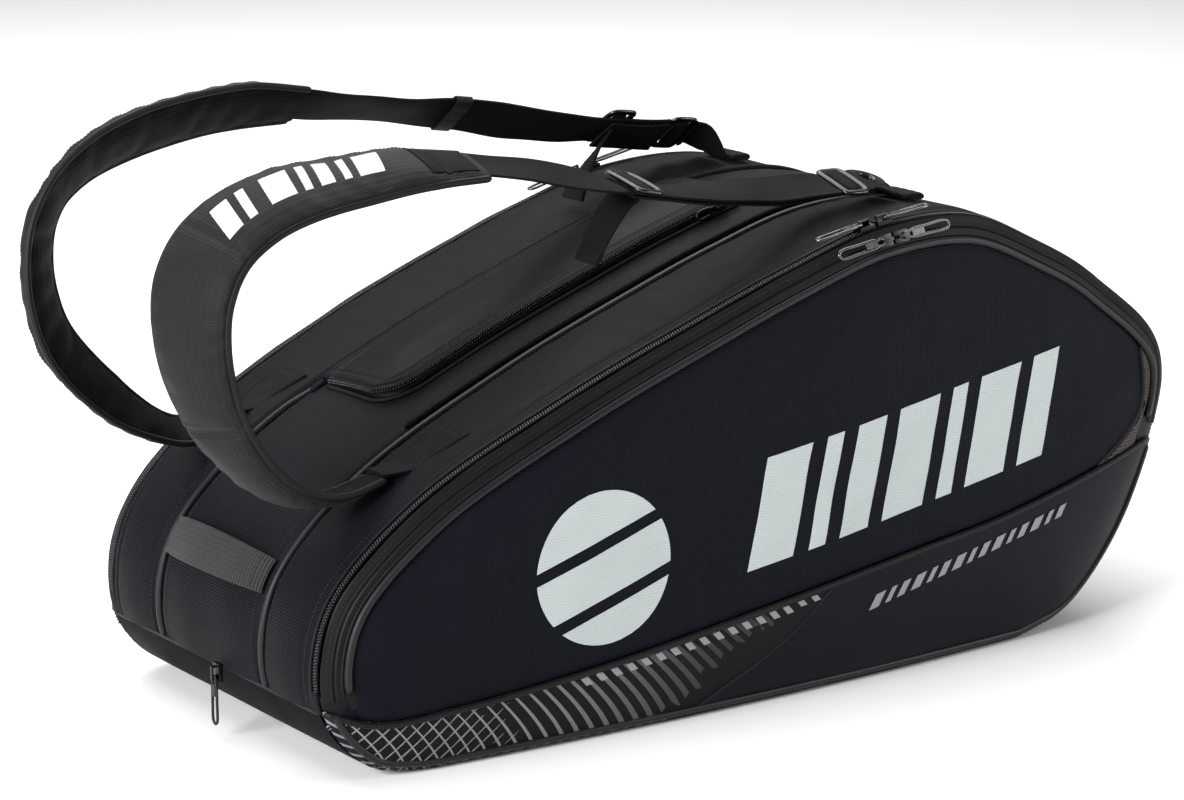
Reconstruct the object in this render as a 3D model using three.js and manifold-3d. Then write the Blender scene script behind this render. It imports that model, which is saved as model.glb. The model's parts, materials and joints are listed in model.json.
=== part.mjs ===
// Racket tournament bag: three sewn compartments side by side, two zipped side panels, a zipped top flap,
// a grab handle and two padded carry straps. Millimetres, +Z up.
// Origin: centre of the flat base. +X runs to the head end, -Y is the decorated front side.
import * as THREE from 'three';
import Module from 'manifold-3d';
import { mergeVertices } from 'three/addons/utils/BufferGeometryUtils.js';

const wasm = await Module();
wasm.setup();

// ---- driving dimensions -------------------------------------------------------------------------
const GAP = 0.4;                  // clearance between touching pieces
const FABRIC = 4;                 // padded fabric wall
const HALF_WIDTH_MID = 171;       // half width of the stuffed bag between its two main zips, at mid length
const HALF_WIDTH_HANDLE = 150;    // the same at the handle end
const HALF_WIDTH_HEAD = 148;      // and at the head end
const HALF_LENGTH = 390;
const SEAM_Y = 74;                // the seams between the compartments, and the divider walls
const SIDE_BULGE = 15;            // how far a side panel swells past its zip line
const BULGE_REACH = 90;           // distance from the outline over which it swells
const CROWN = 3.5;                // how far a gusset band crowns between its seams
const RIM_DEPTH = 14;             // zip edge strip, measured in from the outline
const PIPING_DEPTH = 19;          // line of the thick piping
const PIPING_RADIUS = 3.6;
const PANEL_DEPTH = 24;           // where the main side panel starts
const ZIP_WIDTH = 6;
const ZIP_THICK = 2.4;
const FLAP_RISE = 12;             // the top flap stands this far above the centre gusset
const PAD_WIDTH = 74;
const PAD_THICK = 11;
const MESH_THICK = 3;
const WEBBING = 36;
const WEBBING_THICK = 1.8;

// Side outline of the bag (x, z), from under the handle end, over the top, to under the head end.
const OUTLINE = [
  [-312, 0], [-352, 10], [-386, 55], [-379, 122], [-315, 187], [-188, 251], [-65, 298], [0, 320],
  [81, 341], [170, 341], [244, 312], [308, 277], [389, 203], [357, 89], [288, 16], [232, 0],
];
// Upper edge of the lower side band (x, z): the fold that a side panel opens about.
const FOLD = [[-388, 56], [-352, 43], [-283, 45], [-165, 57], [-20, 77], [112, 95], [207, 107], [369, 140]];
// Slanted seam between the printed band and the coated panel (x, z), from the fold to the base.
const SLANT = [[32, 82], [4, 58], [-30, 37], [-68, 18], [-96, 1]];
// Curved edge of the mesh insert (x, z), from the fold up to the head end.
const INSERT_EDGE = [[304, 127], [335, 147], [356, 170], [368, 205]];

// ---- colours ------------------------------------------------------------------------------------
const material = (color, roughness, metalness = 0) =>
  new THREE.MeshStandardMaterial({ color, roughness, metalness });
const RIPSTOP = material(0x14161c, 0.7);
const GUSSET_CLOTH = material(0x191b1f, 0.75);
const COATED = material(0x0c0d12, 0.4);
const PRINT = material(0x2c2b2e, 0.6);
const LINING = material(0x3a3d42, 0.9);
const BOARD = material(0x22242a, 0.6);
const MESH = material(0x2e2b2a, 0.9);
const BELT = material(0x17181b, 0.6);
const HANDLE_BELT = material(0x4a4d4c, 0.7);
const PLASTIC = material(0x0b0b0d, 0.35);
const METAL = material(0xb9bcc0, 0.3, 0.9);
const COIL = material(0x101114, 0.5);

// ---- curves and the bag's surfaces --------------------------------------------------------------
const lerp = (a, b, t) => a + (b - a) * t;
const flatCurve = (points) =>
  new THREE.CatmullRomCurve3(points.map(([x, z]) => new THREE.Vector3(x, 0, z)), false, 'centripetal');
const outline = flatCurve(OUTLINE);
outline.arcLengthDivisions = 800;

// Point and outward normal of the outline at arc fraction u.
function station(u) {
  const point = outline.getPointAt(u);
  const tangent = outline.getTangentAt(u);
  return { x: point.x, z: Math.max(point.z, 0), nx: -tangent.z, nz: tangent.x };
}

// Arc fraction of the outline where it passes x on the top, or z on an end.
function findU(test, from, to) {
  const steps = 2000;
  for (let i = 0; i <= steps; i += 1) {
    const u = lerp(from, to, i / steps);
    if (test(station(u))) return u;
  }
  throw new Error('the outline never gets there');
}
const topU = (x) => findU((s) => s.x >= x && s.z > 150, 0.1, 0.95);

// Half width of the bag at x: widest at mid length.
function halfWidth(x) {
  const t = x / HALF_LENGTH;
  const ends = (HALF_WIDTH_HANDLE + HALF_WIDTH_HEAD) / 2;
  return HALF_WIDTH_MID + ((HALF_WIDTH_HEAD - HALF_WIDTH_HANDLE) / 2) * t + (ends - HALF_WIDTH_MID) * t * t;
}

const OUTLINE_SAMPLES = 240;
const outlineSamples = Array.from({ length: OUTLINE_SAMPLES + 1 }, (_, i) => station(i / OUTLINE_SAMPLES));

function outlineDistance(x, z) {
  let best = z;
  for (const s of outlineSamples) best = Math.min(best, Math.hypot(s.x - x, s.z - z));
  return best;
}

// Swell of a side past the half width, at (x, z): a rounded edge and a flat middle.
function bulge(x, z) {
  const t = Math.min(outlineDistance(x, z) / BULGE_REACH, 1);
  return SIDE_BULGE * Math.sqrt(1 - (1 - t) * (1 - t));
}
const sideY = (x, z) => halfWidth(x) + bulge(x, z);

// ---- solids -------------------------------------------------------------------------------------
const group = new THREE.Group();

function add(name, geometry, look) {
  const mesh = new THREE.Mesh(geometry, look);
  mesh.name = name;
  group.add(mesh);
  return mesh;
}

function signedVolume(positions, index) {
  const corner = [new THREE.Vector3(), new THREE.Vector3(), new THREE.Vector3()];
  let volume = 0;
  for (let i = 0; i < index.length; i += 3) {
    corner.forEach((v, k) => v.fromArray(positions, index[i + k] * 3));
    volume += corner[0].dot(corner[1].cross(corner[2]));
  }
  return volume;
}

function solidFrom(positions, index) {
  if (signedVolume(positions, index) < 0) index.reverse();
  const geometry = new THREE.BufferGeometry();
  geometry.setAttribute('position', new THREE.Float32BufferAttribute(positions, 3));
  geometry.setIndex(index);
  return geometry;
}

// A thick sheet: two grids of the same size, face to face. keep(i, j) leaves cells out, as a window.
function sheet(outer, inner, keep = () => true) {
  const rows = outer.length;
  const columns = outer[0].length;
  const positions = [...outer.flat(), ...inner.flat()].flatMap((p) => p.toArray());
  const top = (i, j) => i * columns + j;
  const under = (i, j) => rows * columns + top(i, j);
  const kept = (i, j) => i >= 0 && j >= 0 && i < rows - 1 && j < columns - 1 && keep(i, j);
  const index = [];
  const quad = (a, b, c, d) => index.push(a, b, c, a, c, d);
  for (let i = 0; i < rows - 1; i += 1) {
    for (let j = 0; j < columns - 1; j += 1) {
      if (!kept(i, j)) continue;
      quad(top(i, j), top(i + 1, j), top(i + 1, j + 1), top(i, j + 1));
      quad(under(i, j), under(i, j + 1), under(i + 1, j + 1), under(i + 1, j));
      const wall = (p, q) => quad(top(...p), top(...q), under(...q), under(...p));
      if (!kept(i - 1, j)) wall([i, j], [i, j + 1]);
      if (!kept(i + 1, j)) wall([i + 1, j + 1], [i + 1, j]);
      if (!kept(i, j - 1)) wall([i + 1, j], [i, j]);
      if (!kept(i, j + 1)) wall([i, j + 1], [i + 1, j + 1]);
    }
  }
  return dropLoose(positions, index);
}

// Leaves out the vertices that no triangle uses.
function dropLoose(positions, index) {
  const renamed = new Map();
  const used = [];
  const packed = index.map((v) => {
    if (!renamed.has(v)) {
      renamed.set(v, used.length / 3);
      used.push(positions[v * 3], positions[v * 3 + 1], positions[v * 3 + 2]);
    }
    return renamed.get(v);
  });
  return solidFrom(used, packed);
}

// Grid of points at arc fractions us and widths ys on the outline, lifted by lift(u, y) along its normal.
function bandGrid(us, yAt, lift) {
  return us.map((u) => {
    const s = station(u);
    return yAt(s).map((y, j) => {
      const n = lift(y, j, s);
      return new THREE.Vector3(s.x + s.nx * n, y, s.z + s.nz * n);
    });
  });
}

const spread = (from, to, count) => Array.from({ length: count + 1 }, (_, i) => lerp(from, to, i / count));

// Coons patch between four (x, z) curves, given as functions of 0..1.
function patch(bottom, top, left, right, columns, rows) {
  const [b0, b1, t0, t1] = [bottom(0), bottom(1), top(0), top(1)];
  return spread(0, 1, columns).map((s) =>
    spread(0, 1, rows).map((t) => {
      const mix = (k) =>
        lerp(bottom(s)[k], top(s)[k], t) + lerp(left(t)[k], right(t)[k], s)
        - lerp(lerp(b0[k], b1[k], s), lerp(t0[k], t1[k], s), t);
      return [mix(0), mix(1)];
    }));
}

// A thick side sheet over an (x, z) grid, on the side given by sign, set back from the swollen surface.
function sideSheet(grid, sign, thick, setBack = 0) {
  const at = (depth) => grid.map((row) => row.map(([x, z]) =>
    new THREE.Vector3(x, sign * (sideY(x, z) - setBack - depth), z)));
  return sheet(at(0), at(thick));
}

const polyline = (points) => {
  const curve = flatCurve(points);
  return (t) => {
    const p = curve.getPointAt(t);
    return [p.x, p.z];
  };
};
const straight = (a, b) => (t) => [lerp(a[0], b[0], t), lerp(a[1], b[1], t)];
const inset = (u, depth) => {
  const s = station(u);
  return [s.x - s.nx * depth, s.z - s.nz * depth];
};

function tube(points, radius, steps, sides) {
  const path = new THREE.CatmullRomCurve3(points, false, 'centripetal');
  const shape = new THREE.Shape();
  shape.absarc(0, 0, radius, 0, Math.PI * 2);
  return new THREE.ExtrudeGeometry(shape, {
    extrudePath: path, steps, curveSegments: sides / 2, bevelEnabled: false });
}

function toManifold(geometry) {
  const bare = geometry.clone();
  bare.deleteAttribute('normal');
  bare.deleteAttribute('uv');
  const merged = mergeVertices(bare, 1e-4);
  return new wasm.Manifold(new wasm.Mesh({
    numProp: 3,
    vertProperties: new Float32Array(merged.attributes.position.array),
    triVerts: new Uint32Array(merged.index.array) }));
}

function fromManifold(solid) {
  const mesh = solid.getMesh();
  return solidFrom(Array.from(mesh.vertProperties), Array.from(mesh.triVerts));
}
const join = (...parts) => fromManifold(parts.map(toManifold).reduce((a, b) => a.add(b)));

const box = (sx, sy, sz, x, y, z) => new THREE.BoxGeometry(sx, sy, sz).translate(x, y, z);

// ---- gusset bands, base, dividers ---------------------------------------------------------------
const TRAY_HANDLE_Z = 52;
const TRAY_HEAD_Z = 66;
const handleEdge = findU((s) => s.z >= TRAY_HANDLE_Z, 0.01, 0.3);
const headEdge = findU((s) => s.z <= TRAY_HEAD_Z, 0.8, 0.99);
const SEAM_GAP = 0.0006;          // arc fraction between the gussets and the tray
const archStations = spread(handleEdge + SEAM_GAP, headEdge - SEAM_GAP, 27);
const zipInner = (x) => halfWidth(x) - ZIP_WIDTH;

function crown(y, low, high) {
  const t = (y - low) / (high - low);
  return CROWN * 4 * t * (1 - t);
}

const FLAP_X = [-250, 64];        // handle-end and head-end edges of the top flap
const FLAP_Y = [-30, 66];         // front edge, and the hinge line along the back seam
const windowY = [FLAP_Y[0] + 9, FLAP_Y[1] - 8];
const centreYs = [-SEAM_Y + 2, -48, windowY[0], 0, 30, windowY[1], SEAM_Y - 2];
const windowX = [FLAP_X[0] + 12, FLAP_X[1] - 12];

function centreGusset() {
  const columns = () => centreYs;
  const low = centreYs[0];
  const high = centreYs[centreYs.length - 1];
  const outer = bandGrid(archStations, columns, (y) => crown(y, low, high));
  const inner = bandGrid(archStations, columns, (y) => crown(y, low, high) - FABRIC);
  const open = (i, j) => {
    const inX = outer[i][0].x > windowX[0] && outer[i + 1][0].x < windowX[1] && outer[i][0].z > 180;
    return inX && j >= 2 && j < 5;
  };
  return sheet(outer, inner, (i, j) => !open(i, j));
}

function sideGusset(sign) {
  const start = SEAM_Y + 2;
  const columns = (s) => spread(start, zipInner(s.x) - GAP, 4).map((y) => sign * y);
  const lift = (y, j, s) => crown(Math.abs(y), start, zipInner(s.x));
  const outer = bandGrid(archStations, columns, lift);
  const inner = bandGrid(archStations, columns, (y, j, s) => lift(y, j, s) - FABRIC);
  return sheet(outer, inner);
}

// The tray runs on from the gussets, under the bag, as the rest of the same loop.
function baseTray() {
  const ends = [
    ...spread(handleEdge - SEAM_GAP, 0, 5).map(station),
    { x: -200, z: 0, nx: 0, nz: -1 },
    { x: 0, z: 0, nx: 0, nz: -1 },
    { x: 140, z: 0, nx: 0, nz: -1 },
    ...spread(1, headEdge + SEAM_GAP, 6).map(station),
  ];
  const grid = (depth) => ends.map((s) => {
    const half = halfWidth(s.x) - 3.6;
    return spread(-half, half, 4).map((y) =>
      new THREE.Vector3(s.x - s.nx * depth, y, Math.max(s.z - s.nz * depth, depth > 0 ? depth : 0)));
  });
  return sheet(grid(0), grid(FABRIC));
}

// Divider wall: the outline drawn in, as an upright sheet.
function divider(sign) {
  const inset0 = FABRIC + 4;
  const us = spread(0.02, 0.98, 22);
  const rows = us.map((u) => {
    const [x, z] = inset(u, inset0);
    const foot = THREE.MathUtils.clamp(x, -318, 236);
    return [[foot, FABRIC + 6], [x, Math.max(z, FABRIC + 6.5)]];
  }).slice(1, -1);
  const face = (y) => rows.map((row) => row.map(([x, z]) => new THREE.Vector3(x, y, z)));
  return sheet(face(sign * (SEAM_Y - 1)), face(sign * (SEAM_Y + 1)));
}

add('centre_gusset', centreGusset(), GUSSET_CLOTH);
add('front_gusset', sideGusset(-1), GUSSET_CLOTH);
add('back_gusset', sideGusset(1), GUSSET_CLOTH);
add('base_tray', baseTray(), COATED);
add('base_board', box(500, 290, 3, -42, 0, FABRIC + 3.4), BOARD);
add('front_divider', divider(-1), LINING);
add('back_divider', divider(1), LINING);

// ---- the two sides ------------------------------------------------------------------------------
const LIFT_OFF = 1.3;             // a side panel's lower edge stays this far above the fixed band
const LINING_DEPTH = 32;
const SIDE_SHEET = FABRIC - 1;
const foldCurve = polyline(FOLD);
const slantCurve = polyline(SLANT);
const lidStart = findU((s) => s.z >= 60, 0.01, 0.3);
const lidEnd = findU((s) => s.z <= 147, 0.75, 0.99);
const insertStart = findU((s) => s.z <= 232, 0.7, 0.99);
const insertHead = findU((s) => s.z <= 172, 0.75, 0.99);
const coatedHead = findU((s) => s.z <= 136, 0.8, 0.99);
const lerpPoint = (a, b, t) => [lerp(a[0], b[0], t), lerp(a[1], b[1], t)];
const between = (a, b) => (t) => lerpPoint(a, b, t);
const aboveFold = ([x, z]) => [x, z + LIFT_OFF];

// Stretch of the fold line between two x positions, as a function of 0..1.
function foldStretch(fromX, toX, move = (p) => p) {
  const steps = 500;
  const find = (x) => {
    let i = 0;
    while (i < steps && foldCurve(i / steps)[0] < x) i += 1;
    return i / steps;
  };
  const [from, to] = [find(fromX), find(toX)];
  return (t) => move(foldCurve(lerp(from, to, t)));
}

// Point just inside the outline, held above the floor.
function foot(u) {
  const [x, z] = inset(u, 1);
  return [x, Math.max(z, 1)];
}

function printBandGrid() {
  const turn = 0.3;               // share of the band that goes round the handle-end corner
  const bottom = (t) => (t < turn
    ? foot(lerp(handleEdge - 0.008, 0, t / turn))
    : [lerp(OUTLINE[0][0], SLANT.at(-1)[0] - GAP, (t - turn) / (1 - turn)), 1]);
  const top = foldStretch(-386, SLANT[0][0] - GAP);
  const right = (t) => {
    const [x, z] = slantCurve(1 - t);
    return [x - GAP, z];
  };
  return patch(bottom, top, between(bottom(0), top(0)), right, 12, 3);
}

function coatedGrid() {
  const turn = 0.55;              // share of the panel that lies along the flat base
  const bottom = (t) => (t < turn
    ? [lerp(SLANT.at(-1)[0] + GAP, OUTLINE.at(-1)[0], t / turn), 1]
    : foot(lerp(1, coatedHead, (t - turn) / (1 - turn))));
  const top = foldStretch(SLANT[0][0] + GAP, 367);
  const left = (t) => {
    const [x, z] = slantCurve(1 - t);
    return [x + GAP, z];
  };
  return patch(bottom, top, left, between(bottom(1), top(1)), 12, 3);
}

const panelTop = (t) => inset(lerp(lidStart + 0.006, insertStart, t), PANEL_DEPTH);
const insertCurve = polyline([aboveFold(INSERT_EDGE[0]), ...INSERT_EDGE.slice(1, -1), panelTop(1)]);
const panelBottom = foldStretch(-372, INSERT_EDGE[0][0], aboveFold);

function panelGrid() {
  return patch(panelBottom, panelTop, between(panelBottom(0), panelTop(0)), insertCurve, 18, 5);
}

// The back panel has no mesh insert: it runs on to the head end and fills the corner itself.
function wholePanelGrid() {
  const bottom = foldStretch(-372, 344, aboveFold);
  const cornerRoom = 3.5;         // further in at the corner, clear of the piping's facets
  const edge = (t) => inset(lerp(insertHead, insertStart, t), PANEL_DEPTH + cornerRoom * (1 - t));
  const turn = 0.2;
  const right = (t) => (t < turn
    ? lerpPoint(bottom(1), edge(0), t / turn)
    : edge((t - turn) / (1 - turn)));
  return patch(bottom, panelTop, between(bottom(0), panelTop(0)), right, 20, 5);
}

function liningGrid() {
  const top = (t) => inset(lerp(lidStart + 0.01, insertStart, t), LINING_DEPTH);
  return patch(panelBottom, top, between(panelBottom(0), top(0)), between(panelBottom(1), top(1)), 12, 4);
}

function insertGrid() {
  const bottom = foldStretch(INSERT_EDGE[0][0] + 9, 348, aboveFold);
  const top = (t) => {
    const [x, z] = insertCurve(lerp(0.08, 0.95, t));
    return [x + 2, z - 1.4];
  };
  const turn = 0.25;
  const edge = (t) => inset(lerp(insertHead, insertStart + 0.01, t), PANEL_DEPTH + 0.5);
  const right = (t) => (t < turn
    ? lerpPoint(bottom(1), edge(0), t / turn)
    : lerpPoint(edge((t - turn) / (1 - turn)), top(1), Math.max(0, (t - 0.75) * 4)));
  return patch(bottom, top, between(bottom(0), top(0)), right, 6, 5);
}

const pocketChainDepths = [7, 11];
const outsideSheet = (grid, sign, off, thick) => sideSheet(grid, sign, thick, -off - thick);

function side(name, sign) {
  add(`${name}_print_band`, sideSheet(printBandGrid(), sign, FABRIC), PRINT);
  add(`${name}_coated_panel`, sideSheet(coatedGrid(), sign, FABRIC), COATED);
  add(`${name}_panel`, sideSheet(sign < 0 ? panelGrid() : wholePanelGrid(), sign, SIDE_SHEET), RIPSTOP);
  const rim = spread(lidStart, lidEnd, 26).map((u) => [0.9, 5, RIM_DEPTH].map((depth) => inset(u, depth)));
  add(`${name}_lid_rim`, sideSheet(rim, sign, 2.4), GUSSET_CLOTH);
  const pipe = spread(lidStart + 0.004, lidEnd - 0.004, 26).map((u) => {
    const [x, z] = inset(u, PIPING_DEPTH);
    return new THREE.Vector3(x, sign * (sideY(x, z) - 1), z);
  });
  add(`${name}_panel_piping`, tube(pipe, PIPING_RADIUS, 28, 6), RIPSTOP);
  const chainRows = (n) => bandGrid(spread(lidStart, lidEnd, 27),
    (s) => [sign * (zipInner(s.x) + GAP), sign * (halfWidth(s.x) - GAP)], () => n);
  add(`${name}_zip_chain`, sheet(chainRows(CHAIN_TOP), chainRows(CHAIN_TOP - ZIP_THICK)), COIL);
}
const CHAIN_TOP = 0.6;
side('front', -1);
side('back', 1);
add('front_mesh_insert', sideSheet(insertGrid(), -1, SIDE_SHEET), MESH);
add('front_lining', sideSheet(liningGrid(), -1, 1.6, 6), LINING);
const pocketChain = spread(lidStart + 0.05, lidEnd - 0.06, 26)
  .map((u) => pocketChainDepths.map((depth) => inset(u, depth)));
add('side_pocket_zip_chain', outsideSheet(pocketChain, -1, GAP, 1.4), COIL);

// ---- top flap over the centre compartment -------------------------------------------------------
const FLAP_CORNER = 28;
const FLAP_SHEET = 3;
const HINGE_RISE = 7;             // the flap sinks to this height at its hinge line
const COAMING_END_Y = 50;
const TOP_ZIP = 2.2;
const FLAP_CLEAR = 1.3;           // room under the flap's facets for the zip

const centreCrown = (y) => crown(y, centreYs[0], centreYs.at(-1));
function surfacePoint(x, y, n) {
  const s = station(topU(x));
  return new THREE.Vector3(s.x + s.nx * n, y, s.z + s.nz * n);
}

function flapLift(y) {
  const t = (y - FLAP_Y[0]) / (FLAP_Y[1] - FLAP_Y[0]);
  return centreCrown(y) + lerp(FLAP_RISE, HINGE_RISE, t * t);
}

// Front edge of the flap at x, with its rounded handle-end corner.
function flapFront(x) {
  const into = Math.min(Math.max(x - FLAP_X[0], 0) / FLAP_CORNER, 1);
  return FLAP_Y[0] + FLAP_CORNER * (1 - Math.sqrt(1 - (1 - into) ** 2));
}

function topFlap() {
  const xs = [0, 2, 7, 15, 28, 60, 100, 150, 200, 250, FLAP_X[1] - FLAP_X[0]].map((d) => FLAP_X[0] + d);
  const grid = (down) => xs.map((x) => spread(flapFront(x), FLAP_Y[1], 5)
    .map((y) => surfacePoint(x, y, flapLift(y) - down)));
  return sheet(grid(0), grid(FLAP_SHEET));
}

// Line of the zip: down the handle-end edge, round the corner and along the front edge.
function zipLine(inward) {
  const r = FLAP_CORNER - inward;
  const corner = [FLAP_X[0] + FLAP_CORNER, FLAP_Y[0] + FLAP_CORNER];
  const arc = spread(0, Math.PI / 2, 6)
    .map((a) => [corner[0] - r * Math.cos(a), corner[1] - r * Math.sin(a)]);
  const side0 = spread(COAMING_END_Y, corner[1] + 6, 3).map((y) => [FLAP_X[0] + inward, y]);
  const front = spread(corner[0] + 30, FLAP_X[1] - 14, 9).map((x) => [x, FLAP_Y[0] + inward]);
  return [...side0, ...arc, ...front];
}

function ribbon(outward, thick, low, high) {
  const wall = (inward) => zipLine(inward).map(([x, y]) => [low(y), high(y)]
    .map((n) => surfacePoint(x, y, n)));
  return sheet(wall(outward), wall(outward + thick));
}

const zipTop = (y) => flapLift(y) - FLAP_SHEET - FLAP_CLEAR;
add('top_flap', topFlap(), COATED);
add('flap_coaming', ribbon(2.5, 2, (y) => centreCrown(y) + GAP, (y) => zipTop(y) - TOP_ZIP - GAP), GUSSET_CLOTH);
add('flap_zip_chain', ribbon(1, 4, (y) => zipTop(y) - TOP_ZIP, zipTop), COIL);

// ---- grab handle on the handle end --------------------------------------------------------------
const HANDLE_Z = 128;
const HANDLE_WIDTH = 25;
const HANDLE_REACH = 68;          // half its length across the centre gusset
const HANDLE_BOW = 16;
const HANDLE_SHEET = 2.2;
const handleU = findU((s) => s.z >= HANDLE_Z, 0.01, 0.4);
const outlineLength = outline.getLength();

function grabHandle() {
  const half = HANDLE_WIDTH / 2 / outlineLength;
  const rise = (y) => centreCrown(y) + GAP + HANDLE_BOW * (1 - (y / HANDLE_REACH) ** 2) ** 0.8;
  const grid = (extra) => bandGrid([handleU - half, handleU, handleU + half],
    () => spread(-HANDLE_REACH, HANDLE_REACH, 14), (y) => rise(y) + extra);
  return sheet(grid(HANDLE_SHEET), grid(0));
}
add('grab_handle', grabHandle(), HANDLE_BELT);

// ---- carry straps -------------------------------------------------------------------------------
// Routes of the strap centre lines, chosen by hand: [x, |y|, z] from the sewn root at the handle end.
const NEAR_PAD = [
  [-314, 110, 199], [-345, 109, 192], [-372, 108, 195], [-402, 107, 211], [-428, 107, 240],
  [-446, 107, 275], [-454, 107, 312], [-452, 107, 345], [-438, 107, 372], [-412, 107, 391],
  [-375, 107, 403], [-330, 107, 408], [-280, 107, 411], [-228, 107, 408],
];
const NEAR_BELT = [
  [-226, 107, 408], [-190, 107, 402], [-150, 107, 393], [-110, 107, 383], [-60, 107, 373],
  [-10, 107, 368], [40, 107, 365], [84, 107, 364],
];
const FAR_PAD = [
  [-314, 110, 199], [-345, 109, 193], [-385, 106, 212], [-422, 105, 243], [-445, 105, 272],
  [-456, 105, 302], [-459, 105, 331], [-455, 105, 358], [-442, 105, 382], [-418, 105, 401],
  [-386, 105, 414], [-345, 105, 423], [-298, 105, 428], [-243, 105, 425],
];
const FAR_BELT = [
  [-241, 105, 425], [-200, 105, 419], [-150, 105, 412], [-100, 105, 405], [-50, 105, 394],
  [0, 105, 385], [45, 105, 379], [84, 105, 374],
];
const ANCHOR = [138, 107, 351];
const NEAR_TILT = 16;             // degrees; the far strap lies over further, the other way
const FAR_TILT = -40;
const ADJUSTER = [26, 48];
const END_BUCKLE = [25, 42];
const BUCKLE_THICK = 3.2;
const BELT_STEPS = 14;
const TAIL_DROP = 5;              // the loose tail starts this far under the webbing
const PAD_WIDTHS = [[0, 36], [0.12, 42], [0.25, 56], [0.38, 68], [0.5, PAD_WIDTH], [0.72, 73], [0.9, 60], [1, 44]];

function stepped(table, t) {
  const i = Math.max(1, table.findIndex(([at]) => at >= t));
  const [[t0, v0], [t1, v1]] = [table[i - 1], table[i]];
  return lerp(v0, v1, (t - t0) / (t1 - t0));
}

// Frames along a route: point, across (towards +Y) and outward directions, leaning by tilt degrees.
function frames(points, sign, tilt, steps) {
  const curve = new THREE.CatmullRomCurve3(
    points.map(([x, y, z]) => new THREE.Vector3(x, sign * y, z)), false, 'centripetal');
  return spread(0, 1, steps).map((t) => {
    const point = curve.getPointAt(t);
    const along = curve.getTangentAt(t);
    const level = new THREE.Vector3(0, 1, 0).addScaledVector(along, -along.y).normalize();
    const up = new THREE.Vector3().crossVectors(along, level);
    const lean = THREE.MathUtils.degToRad(tilt(t));
    const across = level.clone().multiplyScalar(Math.cos(lean)).addScaledVector(up, Math.sin(lean));
    const out = up.multiplyScalar(Math.cos(lean)).addScaledVector(level, -Math.sin(lean));
    return { t, point, along, across, out };
  });
}

function strapSheet(line, columns, width, top, under) {
  const grid = (height) => line.map((f) => columns.map((c) => f.point.clone()
    .addScaledVector(f.across, c * width(f.t) / 2)
    .addScaledVector(f.out, height(f.t, c))));
  return sheet(grid(top), grid(under));
}

// A flat buckle frame with two slots and a middle bar, lying on the belt at frame f.
function buckle([length, width], f, off) {
  const rect = (x0, x1, y0, y1) => [[x0, y0], [x1, y0], [x1, y1], [x0, y1]].map((p) => new THREE.Vector2(...p));
  const [x, y] = [length / 2, width / 2];
  const shape = new THREE.Shape(rect(-x, x, -y, y));
  const rail = 3.5;
  const slot = y - rail;
  shape.holes.push(new THREE.Path(rect(-x + rail, -2, -slot, slot)));
  shape.holes.push(new THREE.Path(rect(2, x - rail, -slot + 0.6, slot - 0.6)));
  const geometry = new THREE.ExtrudeGeometry(shape, { depth: BUCKLE_THICK, bevelEnabled: false });
  const place = new THREE.Matrix4().makeBasis(f.along, f.across, f.out)
    .setPosition(f.point.clone().addScaledVector(f.out, off));
  return geometry.applyMatrix4(place);
}

function strap(name, sign, padRoute, beltRoute, lean, adjusterStep) {
  const fullLean = (t) => lean * Math.min(1, 0.4 + t * 3);
  const pad = frames(padRoute, sign, fullLean, 20);
  const padWidth = (t) => stepped(PAD_WIDTHS, t);
  const thick = (t) => lerp(3, PAD_THICK - MESH_THICK, Math.min(1, Math.min(t, 1 - t) * 8));
  add(`${name}_strap_pad`, strapSheet(pad, [-1, -0.75, 0, 0.75, 1], padWidth,
    (t, c) => thick(t) * (Math.abs(c) === 1 ? 0.55 : 1), () => GAP), RIPSTOP);
  add(`${name}_strap_mesh`, strapSheet(pad, [-1, 0, 1], (t) => padWidth(t) - 3,
    () => 0, (t, c) => -MESH_THICK * (c === 0 ? 1 : 0.6)), MESH);

  const belt = frames(beltRoute, sign, () => lean, BELT_STEPS);
  const half = WEBBING_THICK / 2;
  add(`${name}_strap_webbing`, strapSheet(belt, [-1, 1], () => WEBBING, () => half, () => -half), BELT);
  const [adjusterAt, buckleAt] = [belt[adjusterStep], belt[BELT_STEPS]];
  add(`${name}_adjuster`, buckle(ADJUSTER, adjusterAt, half + GAP * 2), METAL);
  const past = { ...buckleAt, point: buckleAt.point.clone().addScaledVector(buckleAt.along, 14) };
  add(`${name}_end_buckle`, buckle(END_BUCKLE, past, -BUCKLE_THICK / 2), METAL);

  const from = past.point.clone().addScaledVector(past.along, 17);
  const anchor = new THREE.Vector3(ANCHOR[0], sign * ANCHOR[1], ANCHOR[2]);
  const ahead = from.clone().addScaledVector(past.along, 6);
  const link = frames([from, ahead, anchor]
    .map((p) => [p.x, sign * p.y, p.z]), sign, (t) => lean * (1 - t), 6);
  add(`${name}_anchor_webbing`, strapSheet(link, [-1, 1], () => WEBBING - 2, () => half, () => -half), BELT);

  const tail = tailRoute(adjusterAt, sign, lean);
  add(`${name}_strap_tail`, strapSheet(tail, [-1, 1], () => WEBBING - 6, () => half, () => -half), BELT);
}

// The loose end of the webbing, hanging from the adjuster towards the handle end.
function tailRoute(f, sign, lean) {
  const start = f.point.clone().addScaledVector(f.out, -TAIL_DROP).addScaledVector(f.along, -4);
  const drop = [[0, 0], [-9, -7], [-24, -26], [-40, -52]];
  return frames(drop.map(([dx, dz]) => [start.x + dx, sign * start.y, start.z + dz]), sign, (t) => -lean * (1 - t), 6);
}

strap('front', -1, NEAR_PAD, NEAR_BELT, NEAR_TILT, 6);
strap('back', 1, FAR_PAD, FAR_BELT, FAR_TILT, 12);

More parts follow.
